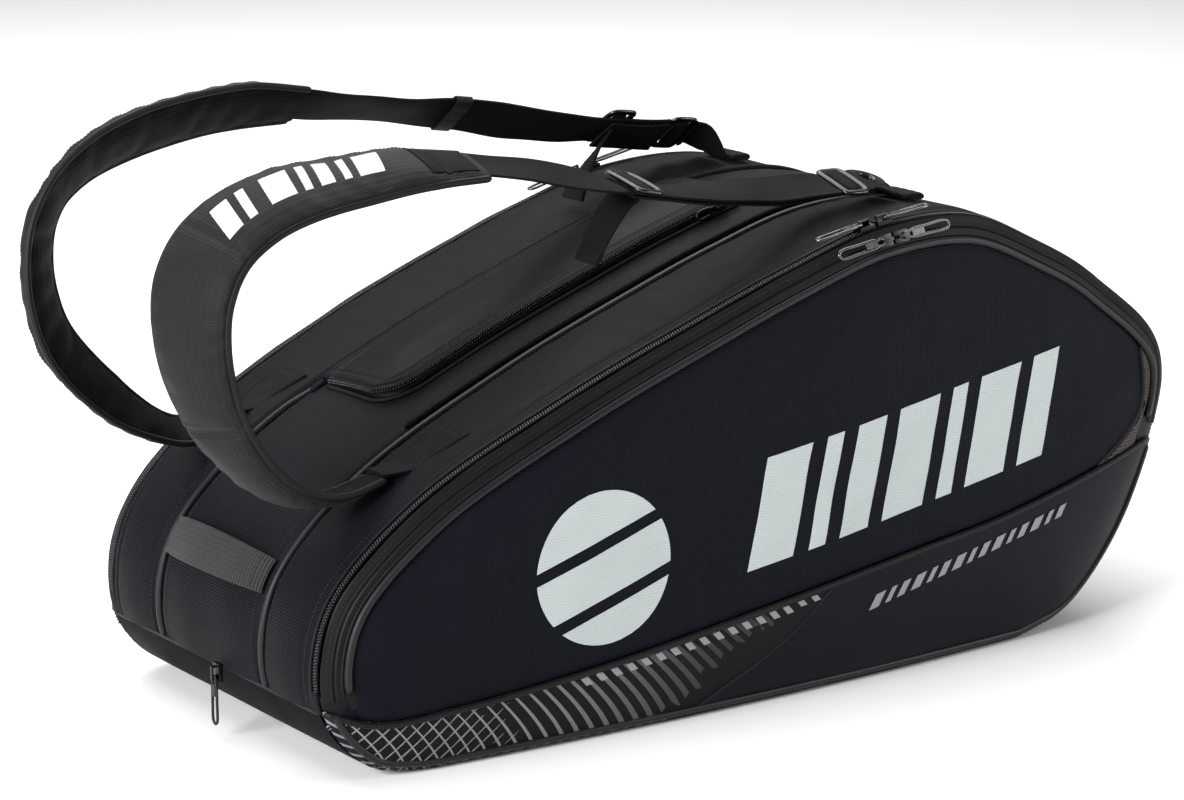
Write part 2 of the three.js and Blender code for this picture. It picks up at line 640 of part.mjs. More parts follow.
// Sewn roll that holds the strap at the head end, standing on its gusset.
function anchorRoll(sign) {
  const s = station(topU(ANCHOR[0] + 14));
  const roll = box(22, WEBBING + 4, 5, 0, 0, 2.5);
  const place = new THREE.Matrix4().makeRotationY(Math.atan2(-s.nx, s.nz) * -1)
    .setPosition(s.x + s.nx * 4.4, sign * ANCHOR[1], s.z + s.nz * 4.4);
  return roll.applyMatrix4(place);
}
add('front_strap_anchor', anchorRoll(-1), BELT);
add('back_strap_anchor', anchorRoll(1), BELT);

// Elastic keeper loop round the far strap's webbing.
function keeper() {
  const f = frames(FAR_BELT, 1, () => FAR_TILT, 20)[8];
  const rect = (hx, hy) => [[-hx, -hy], [hx, -hy], [hx, hy], [-hx, hy]].map((p) => new THREE.Vector2(...p));
  const shape = new THREE.Shape(rect(WEBBING / 2 + 2.5, 3.6));
  shape.holes.push(new THREE.Path(rect(WEBBING / 2 + 1, 2.1).reverse()));
  const ring = new THREE.ExtrudeGeometry(shape, { depth: 14, bevelEnabled: false }).translate(0, 0, -7);
  const place = new THREE.Matrix4().makeBasis(f.across, f.out, f.along).setPosition(f.point);
  return ring.applyMatrix4(place);
}
add('back_strap_keeper', keeper(), BELT);

// Flat oval connector with an eye, sewn down beside the near anchor.
function eyeTab() {
  const shape = new THREE.Shape();
  shape.absellipse(0, 0, 25, 14, 0, Math.PI * 2);
  const eye = new THREE.Path();
  eye.absellipse(-3, 0, 11, 7, 0, Math.PI * 2, true);
  shape.holes.push(eye);
  const tab = new THREE.ExtrudeGeometry(shape, { depth: 3.5, curveSegments: 16, bevelEnabled: false });
  return tab.applyMatrix4(new THREE.Matrix4().makeRotationX(-0.1).setPosition(150, -66, 351));
}
add('front_eye_connector', eyeTab(), PLASTIC);

// ---- zip sliders and pulls ----------------------------------------------------------------------
const SLIDER = [13, 9, 3.2];
const BRIDGE = { half: 5, holeHalf: 3.6, low: 3.7, holeTop: 6.5, top: 7.6, width: 2.4 };
const PIVOT = [-2.4, 0, 5.1];     // pull pivot in the slider's own frame
const PULL_THICK = 1.5;

function sliderBody() {
  const outer = [[-BRIDGE.half, 3.3], [BRIDGE.half, 3.3], [BRIDGE.half, BRIDGE.top], [-BRIDGE.half, BRIDGE.top]];
  const hole = [[-BRIDGE.holeHalf, BRIDGE.low], [-BRIDGE.holeHalf, BRIDGE.holeTop],
    [BRIDGE.holeHalf, BRIDGE.holeTop], [BRIDGE.holeHalf, BRIDGE.low]];
  const shape = new THREE.Shape(outer.map((p) => new THREE.Vector2(...p)));
  shape.holes.push(new THREE.Path(hole.map((p) => new THREE.Vector2(...p))));
  const bridge = new THREE.ExtrudeGeometry(shape, { depth: BRIDGE.width, bevelEnabled: false })
    .rotateX(Math.PI / 2).translate(0, BRIDGE.width / 2, 0);
  return join(box(...SLIDER, 0, 0, GAP + SLIDER[2] / 2), bridge);
}

function pullTab(length, half) {
  const rect = (x0, x1, y) => [[x0, -y], [x1, -y], [x1, y], [x0, y]].map((p) => new THREE.Vector2(...p));
  const near = PIVOT[0] + PULL_THICK / 2;
  const shape = new THREE.Shape();
  shape.moveTo(near, -3.4);
  shape.lineTo(near, 3.4);
  shape.absarc(-length + half, 0, half, Math.PI / 2, Math.PI * 1.5, false);
  shape.holes.push(new THREE.Path(rect(-9.5, near - PULL_THICK, 2.2)));
  if (length > 24) shape.holes.push(new THREE.Path(rect(-length + 5, -13, half - 2.2)));
  return new THREE.ExtrudeGeometry(shape, { depth: PULL_THICK, curveSegments: 8, bevelEnabled: false })
    .translate(0, 0, PIVOT[2] - PULL_THICK / 2);
}

// A slider and its pull: seat is the point on the zip, out its normal, back the way the pull lies.
function zipSlider(name, seat, out, back, length, half = 4.2) {
  const along = back.clone().negate().addScaledVector(out, back.dot(out)).normalize();
  const across = new THREE.Vector3().crossVectors(out, along);
  const place = new THREE.Matrix4().makeBasis(along, across, out).setPosition(seat);
  add(`${name}_slider`, sliderBody(), METAL).applyMatrix4(place);
  add(`${name}_pull`, pullTab(length, half), METAL).applyMatrix4(place);
}

const LONG_PULL = 42;
const TOWARDS = { handle: -1, head: 1 };

function mainSlider(name, sign, x, way) {
  const s = station(topU(x));
  const y = sign * (halfWidth(s.x) - ZIP_WIDTH / 2);
  const seat = new THREE.Vector3(s.x + s.nx * CHAIN_TOP, y, s.z + s.nz * CHAIN_TOP);
  const back = new THREE.Vector3(s.nz * way, 0, -s.nx * way);
  zipSlider(name, seat, new THREE.Vector3(s.nx, 0, s.nz), back, LONG_PULL);
}

function pocketSlider(name, x, way) {
  const s = station(topU(x));
  const depth = (pocketChainDepths[0] + pocketChainDepths[1]) / 2;
  const [px, pz] = [s.x - s.nx * depth, s.z - s.nz * depth];
  const slope = (bulge(px, pz) - bulge(px + s.nx, pz + s.nz));
  const out = new THREE.Vector3(s.nx * slope, -1, s.nz * slope).normalize();
  const seat = new THREE.Vector3(px, -sideY(px, pz), pz).addScaledVector(out, 2.6);
  zipSlider(name, seat, out, new THREE.Vector3(s.nz * way, 0, -s.nx * way), LONG_PULL);
}
mainSlider('front_handle', -1, 70, TOWARDS.handle);
mainSlider('front_head', -1, 86, TOWARDS.head);
pocketSlider('side_pocket_handle', 76, TOWARDS.handle);
pocketSlider('side_pocket_head', 92, TOWARDS.head);
mainSlider('back_handle', 1, 46, TOWARDS.handle);
mainSlider('back_head', 1, 62, TOWARDS.head);

function flapSlider() {
  const x = 40;
  const n = flapLift(FLAP_Y[0]) - FLAP_SHEET - GAP - TOP_ZIP / 2;
  const s = station(topU(x));
  const out = new THREE.Vector3(0, -1, 0);
  const seat = surfacePoint(x, FLAP_Y[0] - 0.3, n - 1.5);
  zipSlider('flap', seat, out, new THREE.Vector3(-s.nz, 0, s.nx), 20, 3.4);
}
flapSlider();
const END_SLIDER = [-390.6, -20, 50];
zipSlider('end', new THREE.Vector3(...END_SLIDER), new THREE.Vector3(-1, 0, 0), new THREE.Vector3(0, 0, -1), 36, 3);

export default group;
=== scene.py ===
# Looks of a racket tournament bag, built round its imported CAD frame. Shapes are worked out in millimetres
# and turned into metres when a mesh is made. +X is the head end, -Y the decorated front, +Z up.
import json
import math

import bpy
import bmesh
import numpy as np
from mathutils import Matrix, Vector


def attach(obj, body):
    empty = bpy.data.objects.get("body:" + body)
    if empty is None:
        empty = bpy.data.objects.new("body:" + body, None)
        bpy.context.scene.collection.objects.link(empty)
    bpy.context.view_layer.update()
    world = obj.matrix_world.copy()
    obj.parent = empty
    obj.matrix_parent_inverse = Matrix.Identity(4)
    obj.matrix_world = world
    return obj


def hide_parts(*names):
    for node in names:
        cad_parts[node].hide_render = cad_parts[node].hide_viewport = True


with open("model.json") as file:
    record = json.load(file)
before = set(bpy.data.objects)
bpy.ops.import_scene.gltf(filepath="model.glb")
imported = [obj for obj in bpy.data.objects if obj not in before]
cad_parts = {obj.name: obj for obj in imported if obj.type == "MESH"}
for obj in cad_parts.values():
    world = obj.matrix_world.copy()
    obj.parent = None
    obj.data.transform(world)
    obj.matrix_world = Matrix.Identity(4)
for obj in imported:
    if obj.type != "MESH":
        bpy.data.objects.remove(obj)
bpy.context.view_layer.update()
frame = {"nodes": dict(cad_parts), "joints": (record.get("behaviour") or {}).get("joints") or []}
MM = 0.001
TAU = 2 * math.pi

# ---- driving dimensions, the same as the CAD part's ----------------------------------------------
OUTLINE = [
    (-312, 0), (-352, 10), (-386, 55), (-379, 122), (-315, 187), (-188, 251), (-65, 298), (0, 320),
    (81, 341), (170, 341), (244, 312), (308, 277), (389, 203), (357, 89), (288, 16), (232, 0),
]
FOLD = [(-388, 56), (-352, 43), (-283, 45), (-165, 57), (-20, 77), (112, 95), (207, 107), (369, 140)]
SLANT = [(32, 82), (4, 58), (-30, 37), (-68, 18), (-96, 1)]
INSERT_EDGE = [(304, 128.3), (335, 147), (356, 170)]
HALF_LENGTH = 390
HALF_WIDTH_MID, HALF_WIDTH_HANDLE, HALF_WIDTH_HEAD = 171, 150, 148
SIDE_BULGE, BULGE_REACH = 15, 90
SEAM_Y = 74
SEAM_ROOM, ZIP_ROOM = 2, 0.4      # how far a band's cloth stays off its seam and its zip
CROWN = 3.5
WALL = 3                          # thickness of the padded walls
ZIP_WIDTH = 6
PIPING_DEPTH, PIPING_RADIUS = 18.4, 3.0
FLAP_X, FLAP_Y = (-250, 64), (-30, 66)
FLAP_RISE, HINGE_RISE, FLAP_CORNER = 12, 7, 28
PAD_THICK, MESH_THICK = 8, 3
WEBBING = 36
TRAY_HANDLE_Z, TRAY_HEAD_Z = 52, 66
HANDLE_Z, HANDLE_WIDTH, HANDLE_REACH, HANDLE_BOW = 128, 25, 68, 16

NEAR_PAD = [
    (-314, 110, 199), (-345, 109, 192), (-372, 108, 195), (-402, 107, 211), (-428, 107, 240),
    (-446, 107, 275), (-454, 107, 312), (-452, 107, 345), (-438, 107, 372), (-412, 107, 391),
    (-375, 107, 403), (-330, 107, 408), (-280, 107, 411), (-228, 107, 408),
]
NEAR_BELT = [
    (-226, 107, 408), (-190, 107, 402), (-150, 107, 393), (-110, 107, 383), (-60, 107, 373),
    (-10, 107, 368), (40, 107, 365), (84, 107, 364),
]
FAR_PAD = [
    (-314, 110, 199), (-345, 109, 193), (-385, 106, 212), (-422, 105, 243), (-445, 105, 272),
    (-456, 105, 302), (-459, 105, 331), (-455, 105, 358), (-442, 105, 382), (-418, 105, 401),
    (-386, 105, 414), (-345, 105, 423), (-298, 105, 428), (-243, 105, 425),
]
FAR_BELT = [
    (-241, 105, 425), (-200, 105, 419), (-150, 105, 412), (-100, 105, 405), (-50, 105, 394),
    (0, 105, 385), (45, 105, 379), (84, 105, 374),
]
ANCHOR = (138, 107, 351)
NEAR_TILT, FAR_TILT = 16, -40
PAD_WIDTHS = [(0, 36), (0.12, 42), (0.25, 56), (0.38, 68), (0.5, 74), (0.72, 73), (0.9, 60), (1, 44)]


# ---- curves and the bag's surfaces ---------------------------------------------------------------
def catmull(points, per=60):
    """Centripetal Catmull-Rom curve through the points, as a dense polyline."""
    p = np.asarray(points, float)
    p = np.vstack([2 * p[0] - p[1], p, 2 * p[-1] - p[-2]])
    t = np.linspace(0, 1, per, endpoint=False)[:, None]
    out = []
    for p0, p1, p2, p3 in zip(p, p[1:], p[2:], p[3:]):
        d0, d1, d2 = (np.linalg.norm(b - a) ** 0.5 for a, b in ((p0, p1), (p1, p2), (p2, p3)))
        m1 = ((p1 - p0) / d0 - (p2 - p0) / (d0 + d1) + (p2 - p1) / d1) * d1
        m2 = ((p2 - p1) / d1 - (p3 - p1) / (d1 + d2) + (p3 - p2) / d2) * d1
        out.append((2 * t**3 - 3 * t**2 + 1) * p1 + (t**3 - 2 * t**2 + t) * m1
                   + (3 * t**2 - 2 * t**3) * p2 + (t**3 - t**2) * m2)
    out.append(p[-2][None])
    return np.vstack(out)


def stacked(*parts):
    """Points or UV pairs from their separate coordinates."""
    return np.stack(np.broadcast_arrays(*parts), -1)


def arc_lengths(path):
    return np.concatenate([[0], np.cumsum(np.linalg.norm(np.diff(path, axis=0), axis=1))])


def sample(rows, s, at):
    """Rows read at other places along their own lengths s."""
    return np.stack([np.interp(at, s, column) for column in rows.T], -1)


class Track:
    """A smooth curve through points, read by arc fraction."""

    def __init__(self, points):
        self.p = catmull(points)
        self.s = arc_lengths(self.p)
        self.length = self.s[-1]

    def at(self, u):
        return sample(self.p, self.s, np.asarray(u) * self.length)

    def along(self, u, h=0.002):
        d = self.at(np.clip(np.asarray(u) + h, 0, 1)) - self.at(np.clip(np.asarray(u) - h, 0, 1))
        return d / np.linalg.norm(d, axis=-1, keepdims=True)

    def u_at_x(self, x):
        u = np.linspace(0, 1, 4001)
        return np.interp(x, self.at(u)[:, 0], u)


outline = Track(OUTLINE)
fold = Track(FOLD)
slant = Track(SLANT)


def station(u):
    """Point and outward normal of the side outline at arc fraction u."""
    p, t = outline.at(u), outline.along(u)
    return p[..., 0], np.maximum(p[..., 1], 0), -t[..., 1], t[..., 0]


def u_where(test, low, high):
    u = np.linspace(low, high, 3000)
    x, z = station(u)[:2]
    return u[np.argmax(test(x, z))]


def top_u(x):
    u = np.linspace(0.12, 0.86, 4000)
    return np.interp(x, station(u)[0], u)


def half_width(x):
    t = x / HALF_LENGTH
    ends = (HALF_WIDTH_HANDLE + HALF_WIDTH_HEAD) / 2
    return HALF_WIDTH_MID + (HALF_WIDTH_HEAD - HALF_WIDTH_HANDLE) / 2 * t + (ends - HALF_WIDTH_MID) * t**2


EDGE_SAMPLES = np.stack(station(np.linspace(0, 1, 420))[:2], -1)


def side_y(x, z):
    """Distance of the swollen side from the middle plane."""
    x, z = np.broadcast_arrays(np.asarray(x, float), np.asarray(z, float))
    flat = np.stack([x.ravel(), z.ravel()], -1)
    away = np.empty(len(flat))
    for k in range(0, len(flat), 4000):
        part = flat[k:k + 4000]
        away[k:k + 4000] = np.linalg.norm(part[:, None] - EDGE_SAMPLES[None], axis=2).min(1)
    away = np.minimum(away, flat[:, 1]).reshape(x.shape).clip(0, None)
    t = np.minimum(away / BULGE_REACH, 1)
    return half_width(x) + SIDE_BULGE * np.sqrt(1 - (1 - t) ** 2)


def on_side(x, z, sign, off):
    y = side_y(x, z) + off
    return stacked(x, sign * y, z)


def on_band(u, y, n):
    """Point on the loop of cloth round the bag's edge: arc fraction, width position, height above it."""
    x, z, nx, nz = station(u)
    return stacked(x + nx * n, y, z + nz * n)


def inset(u, depth):
    x, z, nx, nz = station(u)
    return x - nx * depth, z - nz * depth


def crown(y, low, high):
    t = (y - low) / (high - low)
    return CROWN * 4 * t * (1 - t)


def centre_crown(y):
    return crown(y, SEAM_ROOM - SEAM_Y, SEAM_Y - SEAM_ROOM)


def ripple(a, b, seed, size):
    """Smooth, uneven waves of about that size over two coordinates in millimetres, within -1..1."""
    rng = np.random.default_rng(seed)
    total = 0
    for _ in range(9):
        angle, phase = rng.uniform(0, TAU, 2)
        k = TAU / (size * rng.uniform(0.7, 1.8))
        total = total + np.sin(k * (a * math.cos(angle) + b * math.sin(angle)) + phase)
    return total / 5


def bump(t, centre, width):
    return np.exp(-(((t - centre) / width) ** 2))


def squarish(wave, power):
    """A sine or cosine pushed towards a square wave, for rings with flat sides."""
    return np.sign(wave) * np.abs(wave) ** power


def smooth(t, low, high):
    t = np.clip((t - low) / (high - low), 0, 1)
    return t * t * (3 - 2 * t)


# ---- meshes --------------------------------------------------------------------------------------
def unit(v):
    return v / np.maximum(np.linalg.norm(v, axis=-1, keepdims=True), 1e-9)


def normals(p):
    return unit(np.cross(np.gradient(p, axis=0), np.gradient(p, axis=1)))


def winding(verts, faces):
    """Signed measure of a closed mesh's volume, negative where its faces look inward."""
    a, b, c, d = (verts[faces[:, k]] for k in range(4))
    return np.einsum("ij,ij->", a, np.cross(b, c) + np.cross(c, d))


def make(name, verts, faces, uvs, mats, body, replaces=(), slot=None, index=None, sharp=50):
    """Mesh object from quads, with one UV pair per face corner."""
    faces, uvs = np.asarray(faces), np.asarray(uvs, float)
    if winding(verts, faces) < 0:
        faces, uvs = faces[:, ::-1], uvs[:, ::-1]
    mesh = bpy.data.meshes.new(name)
    clean = [tuple(dict.fromkeys(f)) for f in faces.tolist()]
    mesh.from_pydata((verts * MM).tolist(), [], clean)
    keep = np.array([[f.index(v) == k for k, v in enumerate(f)] for f in faces.tolist()])
    layer = mesh.uv_layers.new(name="UVMap")
    layer.data.foreach_set("uv", (uvs * MM)[keep].ravel())
    mats = mats if isinstance(mats, (list, tuple)) else [mats]
    for mat in mats:
        mesh.materials.append(mat)
    if index is not None:
        mesh.polygons.foreach_set("material_index", np.asarray(index, np.int32))
    mesh.polygons.foreach_set("use_smooth", np.ones(len(clean), bool))
    mesh.validate()
    mesh.set_sharp_from_angle(angle=math.radians(sharp))
    obj = bpy.data.objects.new(name, mesh)
    bpy.context.scene.collection.objects.link(obj)
    if body:
        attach(obj, body)
    if replaces:
        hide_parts(*replaces)
    return obj


def sheet(name, p, uv, mat, body, thick, side=1, keep=None, replaces=(), slot=None, back=None):
    """Closed cloth sheet from a grid of points. The grid is its outer face."""
    m, n = p.shape[:2]
    q = p - normals(p) * thick * side
    verts = np.concatenate([p.reshape(-1, 3), q.reshape(-1, 3)])
    top = np.arange(m * n).reshape(m, n)
    under = top + m * n
    held = np.ones((m - 1, n - 1), bool) if keep is None else keep
    cells = np.argwhere(held)
    i, j = cells[:, 0], cells[:, 1]
    flat_uv = np.asarray(uv, float).reshape(-1, 2)
    quads = [np.stack([top[i, j], top[i + 1, j], top[i + 1, j + 1], top[i, j + 1]], 1),
             np.stack([under[i, j], under[i, j + 1], under[i + 1, j + 1], under[i + 1, j]], 1)]
    padded = np.pad(held, 1)
    for di, dj, a, b in ((-1, 0, (0, 0), (0, 1)), (1, 0, (1, 1), (1, 0)),
                         (0, -1, (1, 0), (0, 0)), (0, 1, (0, 1), (1, 1))):
        rim = ~padded[i + 1 + di, j + 1 + dj]
        ia, ja, ib, jb = i[rim] + a[0], j[rim] + a[1], i[rim] + b[0], j[rim] + b[1]
        quads.append(np.stack([top[ia, ja], top[ib, jb], under[ib, jb], under[ia, ja]], 1))
    faces = np.concatenate(quads)
    uvs = flat_uv[faces % (m * n)]
    index = None
    if back is not None:
        index = np.zeros(len(faces), int)
        index[len(cells):2 * len(cells)] = 1
        mat = [mat, back]
    return make(name, verts, faces, uvs, mat, body, replaces, slot, index)


def frames(path, up):
    """Tangent, across and outward directions along a path. up is a rough outward direction."""
    t = unit(np.gradient(path, axis=0))
    out = unit(up - t * np.sum(up * t, -1, keepdims=True))
    return t, np.cross(out, t), out


def loft(name, rings, uv, mats, body, closed_path=False, index=None, **more):
    """Closed solid through rings of points (m, n, 3); the rings close on themselves.

    An open path is capped, which needs an even number of points in a ring.
    """
    m, n = rings.shape[:2]
    verts = rings.reshape(-1, 3)
    grid = np.arange(m * n).reshape(m, n)
    rows = m if closed_path else m - 1
    i, j = np.meshgrid(np.arange(rows), np.arange(n), indexing="ij")
    i, j = i.ravel(), j.ravel()
    i2, j2 = (i + 1) % m, (j + 1) % n
    faces = np.stack([grid[i, j], grid[i2, j], grid[i2, j2], grid[i, j2]], 1)
    lengths, around = uv
    uvs = np.stack([np.stack([lengths[a], around[b]], -1) for a, b in
                    ((i, j), (i + 1, j), (i + 1, j + 1), (i, j + 1))], 1)
    face_index = None if index is None else np.asarray(index)[j]
    if not closed_path:
        for row, last in ((0, False), (m - 1, True)):
            k = np.arange(n // 2 - 1)
            cap = np.stack([grid[row, k], grid[row, k + 1], grid[row, n - 2 - k], grid[row, n - 1 - k]], 1)
            cap = cap if not last else cap[:, ::-1]
            faces = np.concatenate([faces, cap])
            uvs = np.concatenate([uvs, np.zeros((len(cap), 4, 2))])
            if face_index is not None:
                face_index = np.concatenate([face_index, np.zeros(len(cap), int)])
    return make(name, verts, faces, uvs, mats, body, index=face_index, **more)


def tube(name, path, up, radius, mat, body, sides=12, flat=1.0, closed_path=False, taper=0.0, **more):
    """Round or flattened tube along a path. taper rounds off both ends over that length."""
    if closed_path:
        t = unit(np.roll(path, -1, 0) - np.roll(path, 1, 0))
        out = unit(up - t * np.sum(up * t, -1, keepdims=True))
        across = np.cross(out, t)
    else:
        t, across, out = frames(path, up)
    s = arc_lengths(np.vstack([path, path[:1]]))
    r = np.broadcast_to(radius, (len(path),)).astype(float)
    if taper:
        end = np.minimum(s[:-1], s[-2] - s[:-1]) / taper
        r = r * np.sqrt(1 - (1 - np.clip(end, 0.03, 1)) ** 2)
    a = np.linspace(0, TAU, sides, endpoint=False)
    ring = (across[:, None] * np.cos(a)[None, :, None] + out[:, None] * flat * np.sin(a)[None, :, None])
    rings = path[:, None] + ring * r[:, None, None]
    around = np.linspace(0, TAU * float(np.max(radius)), sides + 1)
    return loft(name, rings, (s, around), mat, body, closed_path, sharp=60, **more)


def beads(places, along, across, out, size, sides=6, rings=4):
    """Vertices and faces of many small rounded slugs: size is (length, width, height)."""
    v = np.linspace(-1, 1, rings + 2)
    prof = np.sqrt(np.clip(1 - np.abs(v) ** 2.6, 0.02, 1))
    a = np.linspace(0, TAU, sides, endpoint=False)
    local = np.stack([np.repeat(v, sides) * size[0] / 2,
                      (prof[:, None] * np.cos(a)).ravel() * size[1] / 2,
                      (prof[:, None] * np.sin(a)).ravel() * size[2] / 2], -1)
    basis = np.stack([along, across, out], 1)
    verts = places[:, None] + np.einsum("kj,pji->pki", local, basis)
    count = len(local)
    faces = []
    for r in range(rings + 1):
        for k in range(sides):
            k2 = (k + 1) % sides
            faces.append([r * sides + k, (r + 1) * sides + k, (r + 1) * sides + k2, r * sides + k2])
    for base in (0, (rings + 1) * sides):
        cap = [[base + k, base + k + 1, base + sides - 2 - k, base + sides - 1 - k]
               for k in range(sides // 2 - 1)]
        faces += cap if base == 0 else [c[::-1] for c in cap]
    faces = np.array(faces)
    all_faces = faces[None] + (np.arange(len(places)) * count)[:, None, None]
    return verts.reshape(-1, 3), all_faces.reshape(-1, 4)


def bead_object(name, runs, size, mat, body, **more):
    """One mesh of beads along several runs, each (places, along, across, out)."""
    verts, faces, start = [], [], 0
    for run in runs:
        v, f = beads(*run, size)
        verts.append(v)
        faces.append(f + start)
        start += len(v)
    verts, faces = np.concatenate(verts), np.concatenate(faces)
    uvs = verts[faces][:, :, [0, 2]]
    return make(name, verts, faces, uvs, mat, body, sharp=80, **more)


def run_of(path, up, pitch):
    """Places at an even pitch along a path, each with its own along, across and outward directions."""
    s = arc_lengths(path)
    count = max(2, int(s[-1] / pitch))
    at = (np.arange(count) + 0.5) * s[-1] / count
    places, up = sample(path, s, at), sample(np.broadcast_to(up, path.shape), s, at)
    t, across, out = frames(places, up)
    return places, t, across, out


# ---- materials -----------------------------------------------------------------------------------
class Look:
    """A Principled material and short ways to add its nodes."""

    def __init__(self, name, base, rough, metal=0.0, specular=0.5, sheen=0.0):
        self.mat = bpy.data.materials.new(name)
        self.mat.use_nodes = True
        self.tree = self.mat.node_tree
        self.bsdf = self.tree.nodes["Principled BSDF"]
        self.base = base
        self.rough = rough
        self.set("Base Color", (*base, 1))
        self.set("Roughness", rough)
        self.set("Metallic", metal)
        self.set("Specular IOR Level", specular)
        self.set("Sheen Weight", sheen)
        self.set("Sheen Roughness", 0.45)

    def set(self, name, value):
        self.bsdf.inputs[name].default_value = value

    def plug(self, socket, name):
        self.tree.links.new(socket, self.bsdf.inputs[name])

    def node(self, kind, **values):
        node = self.tree.nodes.new("ShaderNode" + kind)
        for key, value in values.items():
            if hasattr(node, key):
                setattr(node, key, value)
            else:
                self.feed(value, node.inputs[key.replace("_", " ")])
        return node

    def feed(self, value, socket):
        if isinstance(value, bpy.types.NodeSocket):
            self.tree.links.new(value, socket)
        else:
            socket.default_value = value

    def math(self, op, a, b=None):
        node = self.tree.nodes.new("ShaderNodeMath")
        node.operation = op
        self.feed(a, node.inputs[0])
        if b is not None:
            self.feed(b, node.inputs[1])
        return node.outputs[0]

    def add(self, a, b):
        return self.math("ADD", a, b)

    def times(self, a, b):
        return self.math("MULTIPLY", a, b)

    def weigh(self, a, share_a, b, share_b):
        return self.add(self.times(a, share_a), self.times(b, share_b))

    def uv(self):
        coords = self.node("TexCoord")
        split = self.node("SeparateXYZ", Vector=coords.outputs["UV"])
        return split.outputs[0], split.outputs[1]

    def noise(self, scale, detail, rough=0.5):
        coords = self.node("TexCoord")
        return self.node("TexNoise", Vector=coords.outputs["Object"], Scale=scale, Detail=detail,
                         Roughness=rough).outputs["Fac"]

    def wave(self, coord, pitch, phase=0.0):
        turned = self.add(self.times(coord, TAU / pitch), phase)
        return self.times(self.add(self.math("SINE", turned), 1.0), 0.5)

    def step(self, value, low, high):
        node = self.node("MapRange", interpolation_type="SMOOTHSTEP", Value=value)
        node.inputs["From Min"].default_value = low
        node.inputs["From Max"].default_value = high
        return node.outputs["Result"]

    def mix(self, factor, a, b):
        node = self.tree.nodes.new("ShaderNodeMix")
        node.data_type = "RGBA"
        self.feed(factor, node.inputs["Factor"])
        self.feed(a, node.inputs[6])
        self.feed(b, node.inputs[7])
        return node.outputs[2]

    def shade(self, factor, amount):
        """Base colour darkened and lightened by a 0..1 pattern."""
        low = (*[c * (1 - amount) for c in self.base], 1)
        high = (*[c * (1 + amount) for c in self.base], 1)
        return self.mix(factor, low, high)

    def vary_rough(self, factor, spread):
        node = self.node("MapRange", Value=factor)
        node.inputs["To Min"].default_value = self.rough - spread
        node.inputs["To Max"].default_value = self.rough + spread
        self.plug(node.outputs["Result"], "Roughness")

    def bump(self, height, distance, strength=1.0):
        node = self.node("Bump", Height=height, Distance=distance, Strength=strength)
        self.plug(node.outputs["Normal"], "Normal")


def cloth(name, base, rough, pitch, depth, weave_shade_and_mottle, weights=(0.5, 0.5), **more):
    """Woven cloth: ribs along both UV directions, uneven yarns and a soft mottle. Its colour follows the
    yarn height, which paints shade into the weave's grooves and a highlight onto the raised yarns. The
    random mottle is mixed in.
    """
    look = Look(name, base, rough, **more)
    u, v = look.uv()
    yarn = look.noise(700, 1.0)
    u = look.add(u, look.times(yarn, pitch[0] * 0.25))
    v = look.add(v, look.times(yarn, pitch[1] * 0.25))
    warp, weft = look.wave(u, pitch[0]), look.wave(v, pitch[1])
    height = look.weigh(warp, weights[0], weft, weights[1])
    mottle = look.noise(28, 3.0)
    # colour from the yarn height is painted weave shade and highlight; the mottle is random tone
    pattern = look.weigh(height, 0.65, mottle, 0.35)
    look.plug(look.shade(pattern, weave_shade_and_mottle), "Base Color")
    look.vary_rough(look.noise(60, 2.0), 0.06)
    look.bump(height, depth)
    return look.mat


def coated_cloth(name, base, rough, **more):
    """Smooth coated cloth: a faint leather-like grain over a fine weave."""
    look = Look(name, base, rough, **more)
    grain = look.node("TexVoronoi", Vector=look.node("TexCoord").outputs["Object"], Scale=900.0)
    fine = look.noise(420, 3.0)
    height = look.add(look.times(grain.outputs["Distance"], 0.5), fine)
    mottle = look.noise(16, 4.0)
    look.plug(look.shade(mottle, 0.22), "Base Color")
    look.vary_rough(look.noise(34, 3.0), 0.07)
    look.bump(height, 0.00018, 0.5)
    return look.mat


def printed_cloth(name):
    """Black cloth printed with a net of thin pale lines that turns into broad curved stripes."""
    look = Look(name, (0.006, 0.006, 0.008), 0.55, specular=0.12)
    x, z = look.uv()
    square = look.times(z, z)
    down = look.weigh(z, 0.55, square, 5.0)
    toward = look.step(x, -0.30, -0.06)
    lean = look.math("SUBTRACT", x, look.times(down, -1.0))
    stripe = look.wave(lean, 0.0125)
    cut = look.math("SUBTRACT", 0.965, look.times(toward, 0.42))
    bands = look.math("GREATER_THAN", stripe, cut)
    cross = look.wave(look.math("SUBTRACT", x, look.times(z, 1.15)), 0.0125)
    wobble = look.times(look.noise(90, 1.0), 0.12)
    keep = look.add(look.add(0.90, look.times(toward, 0.35)), wobble)
    net = look.math("GREATER_THAN", cross, keep)
    ragged = look.add(look.math("SUBTRACT", x, look.times(z, 1.58)),
                       look.times(look.noise(95, 0.0), 0.05))
    bands = look.times(bands, look.math("LESS_THAN", ragged, -0.106))
    pale = look.mix(toward, (0.22, 0.22, 0.23, 1), (0.034, 0.034, 0.038, 1))
    both = look.math("MAXIMUM", bands, net)
    look.plug(look.mix(both, (0.0035, 0.0035, 0.0045, 1), pale), "Base Color")
    weave = look.add(look.wave(x, 0.0012), look.wave(z, 0.0012))
    look.bump(look.add(weave, look.times(both, 0.6)), 0.0001)
    return look.mat


def edge_print(name):
    """Black tape printed with slanted pale stripes near the handle end."""
    look = Look(name, (0.006, 0.006, 0.008), 0.5, specular=0.15)
    u, v = look.uv()
    slanted = look.add(u, look.times(v, -1.4))
    stripe = look.math("GREATER_THAN", look.wave(slanted, 0.011), 0.78)
    part = look.times(stripe, look.math("LESS_THAN", u, 0.30))
    look.plug(look.mix(part, (0.0035, 0.0035, 0.0045, 1), (0.16, 0.16, 0.17, 1)), "Base Color")
    look.bump(look.noise(500, 2.0), 0.0001, 0.5)
    return look.mat


